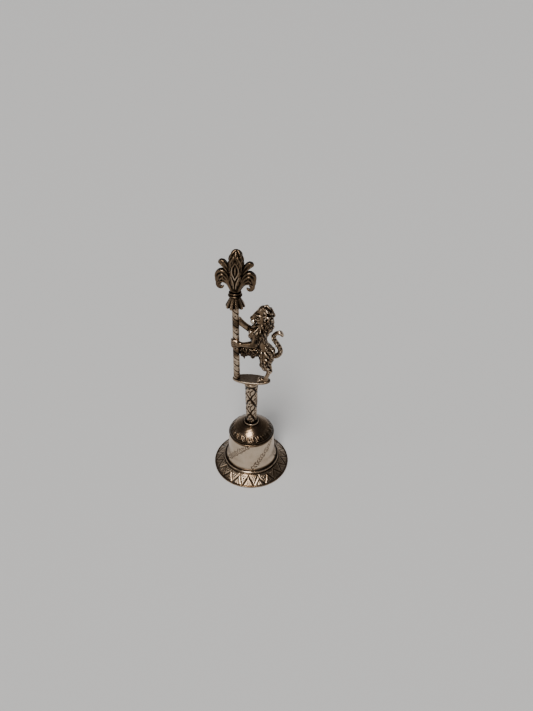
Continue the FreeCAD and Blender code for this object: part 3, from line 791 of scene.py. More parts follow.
def staff_shade(angle, radius, z):
    """Painted shade at the foot, under the finial and round the paws."""
    foot = np.clip(1 - (z - PLATE_HIGH[2]) / 0.7, 0, 1)
    hood = np.clip((z - SKIRT_LOW[2] + 0.4) / 1.0, 0, 1)
    paws = sum(np.clip(1.3 - np.abs(z - paw) / 2.2, 0, 1) for paw in GRIPS)
    return foot * 0.8 + hood + 0.35 * paws


def build_staff():
    low, high = extent("staff")
    outline = np.vstack([[(0, low[2]), (STAFF_RADIUS, low[2])],
                         [(STAFF_RADIUS, z) for z in np.arange(low[2] + 0.14, SKIRT_HIGH[2], 0.14)],
                         [(STAFF_RADIUS, SKIRT_HIGH[2]), (0.8, SKIRT_HIGH[2]), (0.8, high[2]),
                          (0, high[2])]])
    add_piece("staff_engraved", *turned(outline, 96, staff_relief, STAFF_X, staff_shade), staff_silver,
              "bell", ["staff"], "silver_engraved")


def build_plate():
    """The oval stand, pitted on top, with a soft lip and a lump under the lion's heel."""
    low, high = PLATE_LOW, PLATE_HIGH
    lip, pits = 0.22, 46
    clay = Clay(low - 0.6, high + np.array([0.6, 0.6, 0.9]), step=0.12)
    slices, (x, y, z) = clay.window(low - 0.6, high + 1)
    half = (high - low) / 2
    middle = (high + low) / 2
    x, y = x - middle[0], y - middle[1]
    near = np.sqrt((x / half[0]) ** 2 + (y / half[1]) ** 2) + 1e-6
    steep = np.sqrt((x / half[0] ** 2) ** 2 + (y / half[1] ** 2) ** 2) + 1e-6
    across = near * (near - 1) / steep + lip
    bowl = 0.16 * np.clip(-across / 0.8, 0, 1)
    up = np.abs(z - middle[2] + bowl * 0.5) - half[2] + lip + bowl * 0.5
    outside = np.sqrt(np.maximum(across, 0) ** 2 + np.maximum(up, 0) ** 2)
    clay.join(slices, np.minimum(np.maximum(across, up), 0) + outside - lip, 0.1)
    clay.ball((high[0] - 1.9, -0.4, high[2] + 0.05), (1.8, 1.6, 0.42), 0.4)
    for _ in range(pits):
        turn, out = rng.uniform(0, TURN), math.sqrt(rng.uniform(0, 0.86))
        pit = rng.uniform(0.16, 0.38)
        clay.hole((half[0] * out * math.cos(turn), half[1] * out * math.sin(turn), high[2] - 0.05),
                  (pit * 1.3, pit, pit * 0.55), 0.1)
    add_piece("plate_cast", *clay.skin(), plate_silver, "bell", ["platform"], "silver_cast")


# ---- the lion ----

def paw(clay, height, first, last, size):
    """A paw that grips the staff: a palm, and four toes curled round it from one angle to another."""
    def beside(turn, z, out=0.0):
        away = STAFF_RADIUS + size * 0.55 + out
        return STAFF_X + away * math.sin(turn), -away * math.cos(turn), z

    first, last = math.radians(first), math.radians(last)
    heel = first + (last - first) * 0.12
    clay.stroke([(*beside(first, height - size, 0.1), size * 1.7),
                 (*beside(heel, height + size, 0.1), size * 1.8)], 0.3)
    for k in range(4):
        z = height + (1.5 - k) * size * 1.42
        end = first + (last - first) * (0.9, 1.0, 1.04, 0.86)[k]
        curl = []
        for along, swell in ((0.0, 1.0), (0.25, 0.9), (0.5, 1.1), (0.75, 0.86), (1.0, 0.74)):
            drop = (1.5 - k) * 0.12 * along - 0.3 * along
            bow = 0.12 * math.sin(math.pi * along)
            curl.append((*beside(first + (end - first) * along, z + drop, bow), size * swell))
        clay.stroke(curl, 0.07)
        tip = beside(end, z - 0.35, 0.1)
        claw = beside(end + (last - first) * 0.2, z - 0.7, -0.05)
        clay.stroke([(*tip, size * 0.42), (*claw, size * 0.14)], 0.06)


def flow_lines(clay, roots, flow, length, step=0.35):
    """Curves from each root that follow a direction field over the surface, all grown together."""
    heads = clay.settled(roots)
    trail = [heads]
    for _ in range(int(length / step)):
        out = clay.slope(heads)
        ahead = flow(heads)
        ahead = ahead - out * (ahead * out).sum(1)[:, None]
        ahead /= np.linalg.norm(ahead, axis=1)[:, None] + 1e-9
        heads = clay.settled(heads + ahead * step, 0.0, 2)
        trail.append(heads)
    return np.stack(trail, 1)


def hair(clay, roots, flow, length, thick, lift=0.75, wave=0.2, blend=0.1, cuts=2):
    """Tapering locks from the roots along the flow, their tips proud, each cut along its length."""
    paths = flow_lines(clay, roots, flow, length)
    normals = clay.slope(paths.reshape(-1, 3)).reshape(paths.shape)
    for path, normal in zip(paths, normals):
        count = max(6, int(len(path[:, 0]) * rng.uniform(0.8, 1.0)))
        path, normal = path[:count], normal[:count]
        t = np.linspace(0, 1, len(path))
        swell = thick * rng.uniform(0.85, 1.15) * np.sin(np.pi * (0.2 + 0.72 * t)) ** 0.8
        side = np.cross(normal, np.gradient(path, axis=0))
        side /= np.linalg.norm(side, axis=1)[:, None] + 1e-9
        sway = wave * np.sin(TURN * t * 0.8 + rng.uniform(0, TURN))
        places = path + normal * (thick * (lift * t - 0.15))[:, None] + side * sway[:, None]
        clay.stroke([(*p, r) for p, r in zip(places[::2], swell[::2])], blend)
        for cut in range(cuts):
            shift = (cut - (cuts - 1) / 2) * 0.75
            top = places + normal * (swell * 0.95)[:, None] + side * (swell * shift)[:, None]
            clay.groove([(*p, 0.1 + 0.04 * (cuts == 1)) for p in top[1:-1:2]], 0.06)


def roots_on(clay, low, high, gap):
    """Scattered places on the surface inside a box, none nearer to another than the gap."""
    slices, _ = clay.window(low, high)
    cells = np.argwhere(np.abs(clay.field[slices]) < clay.step) + [s.start for s in slices]
    places = clay.low + rng.permutation(cells)[:2500] * clay.step
    kept = places[:1]
    for place in places[1:]:
        if np.linalg.norm(kept - place, axis=1).min() > gap:
            kept = np.vstack([kept, place])
    return kept


def both_sides(rows):
    """Each row (x, y, z) with its mirror across the middle plane, unless it lies on the plane."""
    both = []
    for x, y, z in rows:
        both.append((x, y, z))
        if abs(y) > 0.2:
            both.append((x, -y, z))
    return np.array(both, float)


def hairline(x, z, reach, spread, count):
    """Roots round the head in a plane across it, out to spread degrees from the top on each side."""
    turns = [math.radians(spread) * (2 * k / (count - 1) - 1) for k in range(count)]
    return np.array([(x, reach * math.sin(t), z + reach * math.cos(t)) for t in turns])


def steady(x, y, z):
    """A flow of one direction everywhere."""
    def flow(points):
        return np.tile(np.array([x, y, z], float), (len(points), 1))
    return flow


def mane_flow(points):
    """Back over the crown, down behind the ears, and down the chest."""
    swirl = np.stack([points[:, 2] - 79.0, 0 * points[:, 0], 3.4 - points[:, 0]], 1)
    swirl /= np.linalg.norm(swirl, axis=1)[:, None] + 1e-9
    low = np.clip((83.5 - points[:, 2]) / 4, 0, 1)[:, None]
    fall = np.array([0.2, 0.0, -1.0])
    return swirl * (1 - low) + fall * low


def model_trunk(clay):
    clay.ball((6.7, 0.1, 66.3), (3.0, 2.6, 3.3), 1.0, (0, 15, 0))
    clay.stroke([(6.3, 0, 67.6, 2.6), (4.9, 0, 70.8, 2.1), (3.6, 0, 73.2, 2.6), (2.7, 0, 75.6, 3.1)], 1.0)
    clay.ball((1.9, 0, 75.1), (3.1, 2.8, 3.5), 0.8, (0, -12, 0))
    clay.stroke([(4.1, 0, 76.3, 3.0), (5.4, 0, 80.6, 3.05), (5.6, 0, 84.4, 3.0)], 1.0)


def model_legs(clay):
    """The standing leg on the near side, and the raised one with its paw behind the staff."""
    clay.ball((6.6, -1.5, 64.7), (2.9, 1.75, 3.3), 0.7, (0, 20, 0))
    clay.stroke([(6.6, -1.7, 63.6, 2.1), (5.7, -1.75, 61.7, 1.6), (6.2, -1.7, 59.9, 1.25),
                 (7.6, -1.55, 57.9, 1.1), (7.3, -1.45, 55.6, 0.9), (6.5, -1.4, 53.6, 1.0)], 0.5)
    clay.ball((5.2, -1.75, 61.9), (1.2, 1.0, 1.3), 0.4)
    clay.ball((8.4, -1.5, 57.6), (0.95, 0.8, 0.9), 0.4)
    clay.stroke([(6.6, -1.4, 52.9, 1.0), (5.2, -1.4, 52.6, 0.95), (4.2, -1.4, 52.5, 0.9)], 0.4)
    for k in range(4):
        side = -1.4 + (k - 1.5) * 0.62
        clay.stroke([(4.6, side * 0.95, 52.7, 0.42), (3.8, side, 52.75, 0.5), (3.15, side, 52.2, 0.42)],
                    0.08)
        clay.stroke([(3.0, side, 52.15, 0.24), (2.55, side, 51.75, 0.1)], 0.06)
    clay.ball((5.4, 1.5, 65.6), (2.9, 1.7, 2.9), 0.7)
    clay.stroke([(5.8, 1.1, 65.6, 2.5), (2.8, 1.0, 65.9, 2.4), (0.2, 0.9, 66.5, 2.15),
                 (-2.4, 0.9, 67.0, 1.75), (-4.4, 1.2, 66.9, 1.4), (-5.4, 1.6, 66.2, 1.3)], 0.6)
    paw(clay, 65.6, 132, 208, 0.62)


def model_arms(clay):
    clay.stroke([(3.3, -1.9, 76.6, 1.9), (2.3, -2.5, 74.4, 1.7), (1.4, -2.65, 72.4, 1.4)], 0.6)
    clay.stroke([(1.7, -2.6, 71.9, 1.5), (0.2, -2.55, 71.6, 1.5), (-1.6, -2.3, 71.2, 1.2),
                 (-3.4, -2.0, 70.9, 1.0), (-4.4, -1.8, 70.8, 1.05)], 0.3)
    clay.ball((2.0, -2.8, 71.7), (1.0, 0.9, 1.0), 0.3)
    clay.ball((-5.1, -1.7, 70.75), (1.15, 1.05, 1.5), 0.3)
    paw(clay, 70.9, 32, -88, 0.62)
    clay.ball((3.4, -2.15, 76.6), (1.9, 1.5, 2.2), 0.5, (0, -20, 0))
    clay.stroke([(2.4, 1.7, 75.6, 1.9), (0.2, 1.9, 75.9, 1.6), (-1.6, 1.8, 76.9, 1.4),
                 (-3.4, 1.5, 78.5, 1.35), (-4.7, 1.5, 79.7, 1.45)], 0.5)
    clay.ball((-5.2, 1.35, 80.2), (1.25, 1.2, 1.5), 0.35)
    paw(clay, 80.3, 132, 210, 0.66)


def model_head(clay):
    """A long blunt muzzle, lifted, over an open mouth, below a high round skull."""
    clay.ball((4.6, 0, 84.3), (2.9, 2.5, 2.8), 0.6)
    clay.ball((5.0, 0, 86.7), (2.4, 2.2, 2.4), 0.6)
    clay.stroke([(3.8, 0, 83.3, 2.1), (2.2, 0, 82.8, 1.65), (0.95, 0, 82.45, 1.25)], 0.35)
    clay.stroke([(3.6, 0, 86.0, 1.6), (2.1, 0, 84.6, 1.35), (0.8, 0, 83.2, 1.1)], 0.3)
    for side in (-1, 1):
        clay.ball((0.95, side * 0.95, 82.05), (1.35, 0.95, 1.0), 0.2)
        clay.ball((3.7, side * 1.95, 82.6), (1.4, 0.85, 1.15), 0.3)
        clay.hole((2.75, side * 2.3, 84.3), (0.9, 0.7, 0.7), 0.2)
        clay.ball((2.95, side * 1.85, 84.25), (0.5, 0.5, 0.45), 0.05)
        clay.stroke([(1.9, side * 1.05, 85.1, 0.5), (2.7, side * 1.65, 85.5, 0.58),
                     (3.8, side * 2.15, 85.3, 0.5), (4.4, side * 2.35, 84.4, 0.32)], 0.15)
        clay.stroke([(1.8, side * 1.5, 83.5, 0.28), (2.8, side * 2.0, 83.45, 0.32),
                     (3.8, side * 2.25, 83.9, 0.22)], 0.1)
        clay.hole((-0.5, side * 0.5, 82.85), (0.34, 0.34, 0.28), 0.06)
        clay.groove([(-0.1, side * 0.5, 82.1, 0.14), (0.7, side * 1.25, 82.3, 0.15),
                     (1.9, side * 1.75, 82.7, 0.15)], 0.1)
        for k in range(3):
            clay.hole((0.6 + 0.45 * k, side * (1.62 + 0.06 * k), 81.75 - 0.1 * (k % 2)), (0.12, 0.12, 0.12),
                      0.05)
    clay.ball((0.3, 0, 83.2), (0.95, 1.2, 0.72), 0.12)
    clay.hole((1.3, 0, 80.3), (2.6, 2.6, 1.05), 0.15, (0, 8, 0))
    clay.stroke([(4.4, 0, 79.9, 1.5), (2.6, 0, 79.1, 1.15), (1.1, 0, 79.0, 1.0)], 0.2)
    clay.hole((2.1, 0, 80.15), (1.7, 0.78, 0.5), 0.1, (0, 8, 0))
    clay.stroke([(3.2, 0, 80.3, 0.5), (2.0, 0, 80.1, 0.44), (1.15, 0, 80.0, 0.28)], 0.08)
    clay.stroke([(1.7, 0, 78.5, 0.6), (1.5, 0, 78.1, 0.42), (1.4, 0, 77.7, 0.2)], 0.2)
    for side in (-1, 1):
        for x, drop, size in ((0.35, 0.95, 0.26), (1.1, 0.45, 0.22), (1.8, 0.4, 0.2)):
            y = side * (0.7 + x * 0.28)
            clay.stroke([(x, y, 81.1, size), (x, y, 80.95 - drop, 0.08)], 0.05)
        clay.stroke([(0.95, side * 0.5, 79.5, 0.24), (0.85, side * 0.52, 80.3, 0.08)], 0.05)


def model_mane(clay):
    """Rows of locks from the chest up, so that each row lies on the one below it."""
    hair(clay, both_sides([(-0.9, 0.8, 75.4), (-0.4, 1.9, 75.2), (-0.8, 0, 73.6), (0.2, 1.6, 73.2)]),
         mane_flow, 2.2, 0.34, lift=0.3, cuts=1)
    hair(clay, both_sides([(-0.5, 0, 77.6), (-0.2, 1.1, 77.7), (1.0, 2.0, 77.9)]), mane_flow, 2.4, 0.38,
         lift=0.35, cuts=1)
    neck = [(5.3 + 3.2 * math.cos(t), 3.1 * math.sin(t), 79.3) for t in np.linspace(-2.5, 2.5, 11)]
    hair(clay, np.array(neck), mane_flow, 2.9, 0.58, lift=0.7)
    nape = [(5.6 + 3.2 * math.cos(t), 3.2 * math.sin(t), 81.6) for t in np.linspace(-1.9, 1.9, 9)]
    hair(clay, np.array(nape), mane_flow, 2.9, 0.62)
    hair(clay, hairline(7.0, 82.9, 3.3, 118, 9), mane_flow, 2.8, 0.62)
    hair(clay, hairline(6.1, 83.6, 3.6, 118, 11), mane_flow, 2.4, 0.64, wave=0.3)
    hair(clay, hairline(5.3, 84.5, 3.6, 110, 11), mane_flow, 2.4, 0.6, lift=0.8, wave=0.3)
    hair(clay, roots_on(clay, (6.2, -4, 78.5), (10, 4, 88.5), 1.55), mane_flow, 1.7, 0.6, lift=0.8,
         wave=0.35, cuts=1)
    for side in (-1, 1):
        middle = clay.settled([(6.5, side * 3.2, 84.8)], 0.05)[0]
        loop = []
        for k in range(9):
            turn = TURN * k / 8 + 0.3
            wide = 0.72 - 0.25 * math.sin(turn)
            loop.append((middle[0] + wide * math.cos(turn) + 0.3 * math.sin(turn),
                         middle[1] + side * 0.2 * math.sin(turn),
                         middle[2] + 0.95 * math.sin(turn), 0.34 + 0.08 * math.cos(turn)))
        clay.stroke(loop, 0.2)
        clay.hole((middle[0], middle[1] + side * 0.1, middle[2] - 0.1), (0.36, 0.6, 0.5), 0.12)


def coat_flow(points):
    """Down the back and the flanks, and a little backwards over the haunch."""
    low = np.clip((71.0 - points[:, 2]) / 3, 0, 1)
    return np.stack([0.15 + 0.45 * low, 0 * low, -1 + 0 * low], 1)


def model_coat(clay):
    """Locks over the haunches, with a few on the shoulders and along the back."""
    hair(clay, roots_on(clay, (4.0, -3.6, 60.5), (10.2, 3.6, 68.6), 1.55), coat_flow, 3.2, 0.56, lift=0.5,
         blend=0.16)
    hair(clay, roots_on(clay, (6.2, -2.6, 68.6), (10.2, 2.6, 76.5), 1.7), coat_flow, 2.6, 0.42, lift=0.4,
         blend=0.16, cuts=1)
    hair(clay, roots_on(clay, (2.2, -4.4, 74.2), (5.6, 4.4, 78.8), 1.6), coat_flow, 2.8, 0.5, lift=0.5,
         blend=0.16)


def model_fringe(clay):
    """Locks along both sides of the raised leg, and points of fur hanging from under it."""
    near_side = (-4.4, -2.4, 65.2), (4.6, 0.2, 68.6), 1.3
    far_side = (-4.4, 0.2, 65.2), (4.6, 3.8, 68.0), 1.5
    for low, high, gap in (near_side, far_side):
        hair(clay, roots_on(clay, low, high, gap), steady(0.25, 0.0, -1.0), 2.0, 0.42, lift=0.4,
             wave=0.3, cuts=1)
    for x in np.arange(-4.0, 4.6, 1.05):
        for y in (-0.4, 0.9, 2.1):
            root = 65.0 + 0.04 * x
            drop = (1.6 + 0.8 * math.sin(x * 1.7 + 0.4)) * rng.uniform(0.8, 1.1)
            lean = rng.uniform(-0.3, 0.4)
            clay.stroke([(x, y, root + 0.4, 0.8), (x - 0.1, y * 0.95, root - drop * 0.5, 0.55),
                         (x + lean, y * 0.85, root - drop, 0.16)], 0.14)


def model_fur(clay):
    """The coat, locks on the shank, the raised leg's fringe, and the ringed curl at the hock."""
    model_coat(clay)
    shank = np.array([(4.9, -2.9, 62.6), (6.0, -3.1, 62.8), (7.2, -2.8, 62.6), (8.0, -1.6, 62.2),
                      (5.4, -0.8, 62.0), (5.6, -2.8, 60.6), (6.8, -2.8, 60.4), (7.7, -1.6, 60.2)])
    hair(clay, shank, steady(0.5, 0.0, -1.0), 2.3, 0.4, lift=0.6, cuts=1)
    model_fringe(clay)
    middle = clay.settled([(8.3, -2.6, 57.7)], 0.05)[0]
    for side in (-1, 1):
        y = -1.5 + side * (-1.5 - middle[1])
        clay.stroke([(8.25 + 0.6 * math.cos(turn), y, 57.7 + 0.66 * math.sin(turn), 0.32)
                     for turn in (TURN * k / 8 for k in range(9))], 0.12)
    clay.stroke([(7.9, -1.5, 61.2, 0.9), (8.2, -1.5, 59.8, 0.8), (8.5, -1.5, 58.6, 0.6)], 0.5)


def build_lion():
    clay = Clay((-9.6, -4.7, PLATE_HIGH[2] - 0.4), (10.8, 4.7, 90.6), step=0.145)
    model_trunk(clay)
    model_legs(clay)
    model_arms(clay)
    model_head(clay)
    model_mane(clay)
    model_fur(clay)
    points, faces, marks = clay.skin()
    x, z = points[:, 0], points[:, 2]
    # painted shadow of the near arm over the raised leg and its fringe
    arm_shade = np.clip((68.8 - z) / 2.0, 0, 1) * np.clip((5.0 - x) / 1.5, 0, 1) * (z > 61)
    marks["hollow"] = np.clip(marks["hollow"] + 0.3 * arm_shade, 0, 1)
    add_piece("lion_cast", points, faces, marks, cast_silver, "bell", ["lion"], "silver_cast")


def build_tail():
    """The S-shaped tail with rope cuts, a few tufts, and a tassel curled at its tip."""
    clay = Clay((7.0, -2.2, 63.0), (14.4, 2.2, 79.0), step=0.11)
    core = [(8.5, 0, 65.0, 1.2), (10.2, 0, 64.9, 1.2), (11.7, 0, 65.9, 1.15), (12.25, 0, 67.8, 1.1),
            (11.4, 0, 70.2, 1.05), (10.1, 0, 72.2, 1.05), (9.3, 0, 74.0, 1.0), (9.7, 0, 75.7, 0.95),
            (10.9, 0, 76.6, 0.95), (12.1, 0, 76.4, 0.95), (12.8, 0, 75.6, 0.7)]
    clay.stroke(core, 0.2)
    line = smooth_curve(core, 1.0)
    for k in range(2, len(line) - 3):
        centre = line[k]
        along = line[k + 1] - line[k - 1]
        along /= np.linalg.norm(along[:3])
        wide, back = centre[3], 0.4 * (-1) ** k
        across = np.array([-along[2], 0, along[0]])
        for face in (-1, 1):
            cut = []
            for shift, depth in ((-0.95, 0.3), (-0.5, 0.88), (0.1, 1.06), (0.6, 0.84), (0.95, 0.3)):
                side = np.array([0, face * wide * depth, 0])
                cut.append((*(centre[:3] + shift * wide * across + along[:3] * back * shift + side), 0.13))
            clay.groove(cut, 0.14)
    for x, z, turn in ((9.0, 73.6, 0.3), (10.7, 71.0, -0.5), (12.6, 67.4, 0.4)):
        for face in (-1, 1):
            clay.stroke([(x - 0.3, face * 0.7, z + 0.9, 0.3), (x, face * 1.0, z, 0.48),
                         (x + turn, face * 0.9, z - 0.9, 0.14)], 0.1)
    for side, bend in ((-0.75, 0.0), (0.0, 0.5), (0.75, 0.0), (-0.4, 0.9), (0.4, -0.5)):
        clay.stroke([(10.0, side * 0.6, 75.7 + bend * 0.3, 0.4), (11.0, side, 76.7 + bend * 0.5, 0.48),
                     (12.1, side, 76.9 + bend * 0.4, 0.45), (13.0, side * 0.8, 76.0 + bend * 0.3, 0.3),
                     (13.2, side * 0.5, 75.1 + bend * 0.3, 0.12)], 0.1)
    clay.stroke([(9.7, 0, 73.6, 0.55), (8.8, 0, 74.4, 0.5), (8.5, 0, 75.4, 0.3)], 0.15)
    add_piece("lion_tail_cast", *clay.skin(), cast_silver, "bell", ["lion_tail"], "silver_cast")


# ---- the finial ----

FLUTES = 10


def build_skirt():
    """A bell-shaped collar under the leaves, fluted and scalloped."""
    low, high = extent("finial_skirt")
    radius, top_radius = high[0] - STAFF_X, 2.3
    outline = eased([(STAFF_RADIUS, low[2] + 2.0), (radius - 0.8, low[2] + 0.1),
                     (radius + 0.1, low[2] - 0.02), (radius + 0.05, low[2] + 0.75), (3.15, low[2] + 2.3),
                     (top_radius, high[2] - 0.5), (top_radius, high[2]), (STAFF_RADIUS, high[2])],
                    fillet=0.4, step=0.14)
    points, faces, marks = turned(outline, 260, centre_x=STAFF_X)
    x, y = points[:, 0] - STAFF_X, points[:, 1]
    out, angle = np.hypot(x, y), np.arctan2(x, -y)
    valley = (1 - np.abs(np.sin(angle * FLUTES / 2))) ** 1.7
    flare = np.clip((out - STAFF_RADIUS) / (radius - STAFF_RADIUS), 0, 1)
    shrink = 1 - 0.24 * valley * flare
    points = np.stack([STAFF_X + x * shrink, y * shrink, points[:, 2] + 0.75 * valley * flare**3], 1)
    marks["hollow"] = np.clip(marks["hollow"] + valley * flare * 0.9, 0, 1)
    marks["ridge"] = np.clip((0.25 - valley) * 1.6 * flare**2, 0, 1)
    add_piece("skirt_fluted", points, faces, marks, finial_silver, "bell", ["finial_skirt"], "silver_cast")


def build_neck():
    low, high = NECK_LOW, NECK_HIGH
    tall, radius = high[2] - low[2], high[0] - STAFF_X
    outline = eased([(0.8, low[2]), (1.9, low[2]), (1.95, low[2] + 0.12 * tall),
                     (radius - 0.3, low[2] + 0.18 * tall), (radius, low[2] + 0.32 * tall),
                     (radius, low[2] + 0.42 * tall), (radius - 0.35, low[2] + 0.58 * tall),
                     (2.0, low[2] + 0.62 * tall), (2.0, low[2] + 0.7 * tall), (2.5, low[2] + 0.76 * tall),
                     (2.62, low[2] + 0.88 * tall), (2.4, high[2]), (0.8, high[2])], fillet=0.22, step=0.14)

    # painted shade, most where the neck narrows and where it meets the skirt and the plume, and a little over
    # its lower part
    def painted_shade(angle, ring_radius, z):
        return np.clip((2.3 - ring_radius) / 0.3, 0, 1) + 0.15 * (z < low[2] + 0.6 * tall)

    add_piece("neck_turned", *turned(outline, 140, centre_x=STAFF_X, shade=painted_shade), finial_silver, "bell",
              ["finial_neck"], "silver_cast")


def model_bud(clay):
    """The bud, with rows of scales, and on its front and back a lozenge eye between two folds."""
    clay.stroke([(0, 0, w, r) for w, r in
                 ((1.0, 1.5), (4.0, 1.75), (8.0, 2.2), (12.2, 2.65), (14.4, 2.4), (16.1, 1.55))], 0.5)

    def on_bud(turn, w, lift=0.0):
        """A place on the bud, turned from its front."""
        levels = np.array([0, 4, 8, 12.5, 15, 16.6, 17.5, 18.2])
        radii = np.array([1.6, 1.95, 2.45, 2.8, 2.5, 1.75, 1.0, 0.1])
        out = np.interp(w, levels, radii) + lift
        return out * math.sin(turn), -out * math.cos(turn), w

    for row in range(7):
        count = 6 if row == 0 else 10
        for k in range(count):
            turn = TURN * (k + 0.5 * (row % 2)) / count
            w = 16.9 - row * 1.95
            if min(turn, TURN - turn, abs(turn - math.pi)) < 0.5 and w < 13.5:
                continue
            scale = [(*on_bud(turn, w - 2.2, -0.3), 0.3), (*on_bud(turn, w - 0.9, -0.15), 0.62),
                     (*on_bud(turn, min(w + 0.3, 17.4), -0.2), 0.5),
                     (*on_bud(turn, min(w + 1.2, 17.9), -0.15), 0.2)]
            clay.stroke(scale, 0.08)
    rim = ((0.0, 13.6), (0.34, 11.9), (0.52, 10.2), (0.38, 8.3), (0.0, 6.3))
    fold = ((0.1, 17.3), (0.45, 15.0), (0.86, 12.6), (0.98, 10.0), (0.74, 7.6), (0.34, 5.0), (0.2, 2.2))
    for face in (0, math.pi):
        for sign in (-1, 1):
            for places, lift, radius in ((rim, 0.05, 0.28), (fold, 0.0, 0.3)):
                clay.stroke([(*on_bud(face + sign * turn, w, lift), radius) for turn, w in places], 0.08)
        x, y, w = on_bud(face, 10.0, 0.15)
        clay.hole((x, y, w), (0.78, 0.9, 2.6), 0.12)
        clay.stroke([(*on_bud(face, 8.2, -0.45), 0.25), (*on_bud(face, 10.0, -0.35), 0.42),
                     (*on_bud(face, 11.8, -0.45), 0.2)], 0.1)


def model_leaves(clay, side):
    """The curled lower leaf and the shorter upper one, on one side of the bud."""
    def leaf(rows, blend=0.12, flat=1.0):
        clay.stroke([(side * u, y, w, r) for u, y, w, r in rows], blend, flat)

    # lower leaf: body, three ribs on each face, and the curled tip
    leaf([(1.4, 0, 1.4, 1.0), (3.0, 0, 4.7, 1.5), (4.6, 0, 6.7, 1.9), (6.0, 0, 6.9, 1.75),
          (6.8, 0, 5.4, 1.35), (6.7, 0, 3.9, 1.2), (6.2, 0, 2.6, 1.0)], 0.3, 0.66)
    for face in (-1, 1):
        y = face * 0.85
        leaf([(1.0, y * 0.7, 1.0, 0.4), (2.1, y, 5.0, 0.6), (3.7, y * 0.9, 8.0, 0.66),
              (5.7, y * 0.7, 8.75, 0.7), (7.2, y * 0.5, 7.7, 0.66), (7.6, y * 0.4, 6.1, 0.58),
              (7.3, y * 0.4, 4.5, 0.36)])
        leaf([(1.2, y, 0.9, 0.4), (2.5, y * 1.2, 4.4, 0.56), (4.2, y * 1.25, 6.9, 0.6),
              (5.8, y * 1.15, 7.3, 0.6), (6.5, y, 6.3, 0.5), (6.5, y * 0.8, 5.1, 0.3)])
        leaf([(1.4, y, 0.7, 0.38), (2.8, y * 1.2, 3.9, 0.52), (4.5, y * 1.3, 5.7, 0.56),
              (5.5, y * 1.2, 5.8, 0.5), (6.0, y, 4.9, 0.3)])
    leaf([(1.35, 0, 0.4, 0.75), (2.6, 0, 2.9, 0.8), (3.9, 0, 4.05, 0.78), (5.4, 0, 4.35, 0.8),
          (6.65, 0, 3.7, 0.82), (6.95, 0, 2.6, 0.84), (6.3, 0, 1.6, 0.8), (5.35, 0, 1.45, 0.66),
          (4.8, 0, 2.0, 0.45)], 0.14)
    for face in (-1, 1):
        leaf([(2.0, face * 0.6, 1.8, 0.3), (3.2, face * 0.75, 3.7, 0.34), (5.0, face * 0.8, 4.4, 0.36),
              (6.6, face * 0.75, 3.7, 0.34), (6.9, face * 0.6, 2.5, 0.26)], 0.1)
    clay.hole((side * 5.3, 0, 2.55), (0.5, 2.0, 0.5), 0.12)

    # upper leaf
    leaf([(1.8, 0, 7.6, 1.1), (3.2, 0, 10.0, 1.25), (4.7, 0, 11.7, 1.25), (5.9, 0, 12.3, 1.0)], 0.4, 0.7)
    for face in (-1, 1):
        y = face * 0.6
        leaf([(2.2, y, 8.6, 0.35), (3.3, y * 1.1, 11.0, 0.52), (4.7, y, 12.7, 0.56),
              (6.0, y * 0.6, 12.9, 0.52), (6.5, y * 0.4, 12.2, 0.42), (6.1, y * 0.8, 11.7, 0.25)])
        leaf([(2.6, y, 7.8, 0.35), (4.0, y * 1.2, 9.9, 0.42), (5.4, y, 11.3, 0.42),
              (6.4, y * 0.5, 12.0, 0.35)])


def build_plume():
    """The fleur-de-lis, modelled upright and then leaned."""
    clay = Clay((-8.9, -3.7, -0.2), (8.9, 3.7, 18.5), step=0.12)
    model_bud(clay)
    for side in (-1, 1):
        model_leaves(clay, side)
    clay.ball((0, 0, 0.5), (1.9, 1.7, 0.9), 0.4)
    points, faces, marks = clay.skin()
    lean = np.array(Matrix.Rotation(FINIAL_LEAN, 3, "Y"))
    points = points @ lean.T + np.array([STAFF_X, 0, NECK_HIGH[2]])
    points[:, 2] = np.maximum(points[:, 2], NECK_HIGH[2] - 0.05)
    add_piece("plume_cast", points, faces, marks, finial_silver, "bell", ["finial_plume"], "silver_cast")


# ---- under the bell ----

def build_clapper_ball():
    low, high = extent("clapper_ball")
    middle, radius = (low + high) / 2, (high[0] - low[0]) / 2
    rod_seat = 0.61
    rod = math.asin(rod_seat / radius)
    t = np.linspace(-math.pi / 2, math.pi / 2 - rod, 60)
    outline = [(radius * math.cos(a), middle[2] + radius * math.sin(a)) for a in t]
    outline[0] = (0, outline[0][1])
    outline.append((0, outline[-1][1]))

    def seam(angle, ring_radius, z):
        return -0.05 * np.clip(1 - np.abs(z - middle[2]) / 0.18, 0, 1)

    points, faces, marks = turned(outline, 96, seam)
    points[:, 0] += middle[0]
    add_piece("clapper_ball_turned", points, faces, marks, brass, "clapper", ["clapper_ball"],
              "brass_plain")


def finish_carried_nodes():
    """The small fittings keep their CAD shape and get the brass."""
    for name in ("tang_washer", "tang_nut", "clapper_eye", "clapper_link", "clapper_rod"):
        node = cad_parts[name]
        node.data.materials.clear()
        node.data.materials.append(brass)


# ---- the studio ----

def build_floor():
    finish = Finish("floor_pale")
    tone = finish.maths("ADD", finish.times(finish.grain(0.002, 3), 0.06), 0.5, clamp=True)
    finish.put(finish.surface.inputs["Base Color"],
               finish.ramp(tone, ((0.3, (0.60, 0.60, 0.60)), (0.7, (0.67, 0.67, 0.665)))))
    finish.surface.inputs["Roughness"].default_value = 0.75
    half = 14.0
    mesh = bpy.data.meshes.new("floor")
    mesh.from_pydata([(-half, -half, 0), (half, -half, 0), (half, half, 0), (-half, half, 0)], [],
                     [(0, 1, 2, 3)])
    mesh.materials.append(finish.material)
    floor = bpy.data.objects.new("floor", mesh)
    bpy.context.scene.collection.objects.link(floor)


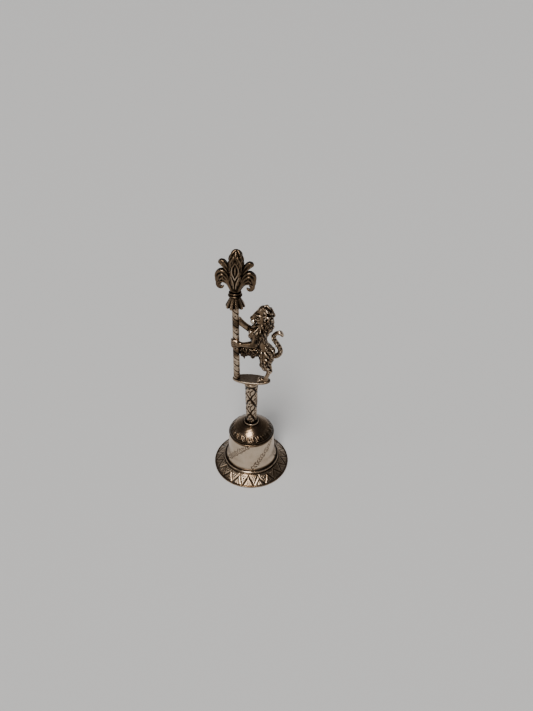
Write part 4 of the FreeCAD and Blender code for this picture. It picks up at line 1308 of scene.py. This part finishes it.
def soft_sun(name, direction, spread, strength, tint=(1, 0.98, 0.95)):
    """A broad light from a direction, so far off that the whole floor is lit alike."""
    light = bpy.data.lights.new(name, "SUN")
    light.angle, light.energy, light.color = math.radians(spread), strength, tint
    lamp = bpy.data.objects.new(name, light)
    lamp.rotation_euler = (-Vector(direction)).to_track_quat("-Z", "Y").to_euler()
    bpy.context.scene.collection.objects.link(lamp)


def build_light():
    """A key light from above, one from the camera's side, a faint one from the left, and a dim room."""
    world = bpy.data.worlds.new("studio")
    world.use_nodes = True
    tree = world.node_tree
    place, split = tree.nodes.new("ShaderNodeTexCoord"), tree.nodes.new("ShaderNodeSeparateXYZ")
    ramp = tree.nodes.new("ShaderNodeValToRGB")
    tree.links.new(place.outputs["Generated"], split.inputs[0])
    tree.links.new(split.outputs["Z"], ramp.inputs["Fac"])
    set_stops(ramp, ((0.0, (0.42, 0.41, 0.40)), (0.35, (0.2, 0.2, 0.2)), (0.8, (0.07, 0.07, 0.08))))
    background = tree.nodes["Background"]
    tree.links.new(ramp.outputs["Color"], background.inputs["Color"])
    background.inputs["Strength"].default_value = 1.0
    bpy.context.scene.world = world
    soft_sun("key", (-0.1, -0.44, 0.9), 22, 2.2)
    soft_sun("front", (-0.04, -0.77, 0.64), 26, 1.5)
    soft_sun("left", (-0.8, -0.45, 0.4), 30, 0.3)


def build_camera():
    """The photograph's view: from in front and above, a little to the right."""
    data = bpy.data.cameras.new("photo_view")
    data.lens, data.sensor_width = 27.04, 36.0
    data.clip_start, data.clip_end = 0.01, 100.0
    camera = bpy.data.objects.new("photo_view", data)
    place = Vector((23.907, -181.582, 199.086)) * MM
    right = Vector((0.99399, 0.10819, 0.01686))
    ahead = Vector((-0.07717, 0.80146, -0.59304))
    up = right.cross(ahead)
    turn = Matrix((right, up, -ahead)).transposed()
    camera.matrix_world = Matrix.Translation(place) @ turn.to_4x4()
    bpy.context.scene.collection.objects.link(camera)
    bpy.context.scene.camera = camera


build_brim()
build_drum()
bead_ring("foot_bead", "foot_wire", wire_silver, 360, 0.012, proud=0.55)
bead_ring("shoulder_bead", "shoulder_wire", dark_wire, 300, 0.008)
build_dome()
build_collar()
build_stem()
bead_ring("stem_bead", "stem_ring", wire_silver, 160, 0.01)
build_plate()
build_staff()
build_lion()
build_tail()
build_skirt()
build_neck()
build_plume()
build_clapper_ball()
finish_carried_nodes()
build_floor()
build_light()
build_camera()
